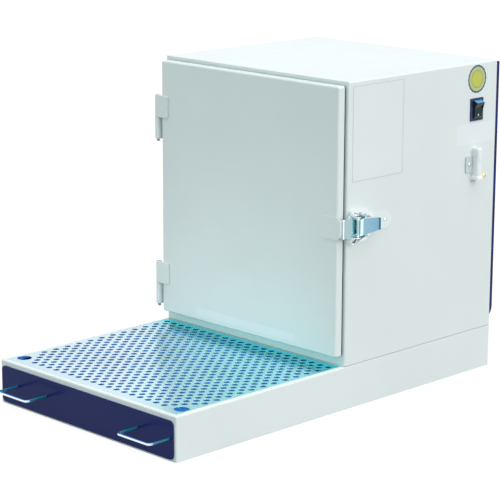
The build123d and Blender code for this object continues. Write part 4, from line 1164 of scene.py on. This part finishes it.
def add_lamp(name, kind, side, colour):
    """A lamp of one kind that shines from a side, which is given as a direction."""
    lamp = bpy.data.lights.new(name, kind)
    lamp.color = colour
    holder = bpy.data.objects.new(name, lamp)
    holder.rotation_mode = "QUATERNION"
    holder.rotation_quaternion = Vector(side).to_track_quat("Z", "Y")
    scene.collection.objects.link(holder)
    return lamp, holder


def add_sun(name, side, strength, spread_degrees, colour=(1.0, 1.0, 1.0)):
    """A very soft lamp without fall-off."""
    lamp, _ = add_lamp(name, "SUN", side, colour)
    lamp.energy = strength * math.pi
    lamp.angle = math.radians(spread_degrees)


def add_fill(name, side, place, size, power, colour):
    """A soft lamp that stands for light thrown back by a surface; it is not mirrored anywhere."""
    lamp, holder = add_lamp(name, "AREA", side, colour)
    lamp.shape = "RECTANGLE"
    lamp.size, lamp.size_y = size
    lamp.energy = power
    holder.location = place
    holder.visible_camera = False
    holder.visible_glossy = False
    holder.visible_transmission = False


build_world()
build_floor()
add_fill("from_the_plate", (0.0, -1.0, -0.10), place=(0.0, -0.33, 0.10), size=(0.36, 0.04), power=0.19,
         colour=(1.0, 0.80, 0.60))
add_sun("soft_top", (0.15, -0.05, 1.0), strength=0.48, spread_degrees=60.0, colour=(1.0, 0.90, 0.94))
add_sun("soft_right", (1.0, 0.25, 0.42), strength=0.53, spread_degrees=50.0)
add_sun("soft_front", (-0.3, -1.0, 0.25), strength=0.36, spread_degrees=120.0, colour=(0.76, 1.0, 0.98))


# Camera, fitted to the straight edges of the photograph

CAMERA_PLACE = (2.1807, -2.1657, 0.9501)
CAMERA_AZIMUTH = 45.282
CAMERA_ELEVATION = 13.386
CAMERA_ROLL = 0.194
FOCAL_LENGTH = 143.88
SENSOR_WIDTH = 36.0


def place_camera():
    """Angles are degrees, the place is metres, and focal length and sensor are millimetres."""
    azimuth = math.radians(CAMERA_AZIMUTH)
    elevation = math.radians(CAMERA_ELEVATION)
    roll = math.radians(CAMERA_ROLL)
    back = Vector((math.sin(azimuth) * math.cos(elevation),
                   -math.cos(azimuth) * math.cos(elevation),
                   math.sin(elevation)))
    level_right = Vector(UP).cross(back).normalized()
    level_up = back.cross(level_right)
    right = math.cos(roll) * level_right + math.sin(roll) * level_up
    up = -math.sin(roll) * level_right + math.cos(roll) * level_up
    data = bpy.data.cameras.new("photo_camera")
    data.sensor_width = SENSOR_WIDTH
    data.lens = FOCAL_LENGTH
    camera = bpy.data.objects.new("photo_camera", data)
    turn = Matrix((right, up, back)).transposed()
    camera.matrix_world = Matrix.Translation(CAMERA_PLACE) @ turn.to_4x4()
    scene.collection.objects.link(camera)
    scene.camera = camera


place_camera()

scene.view_settings.view_transform = "Standard"
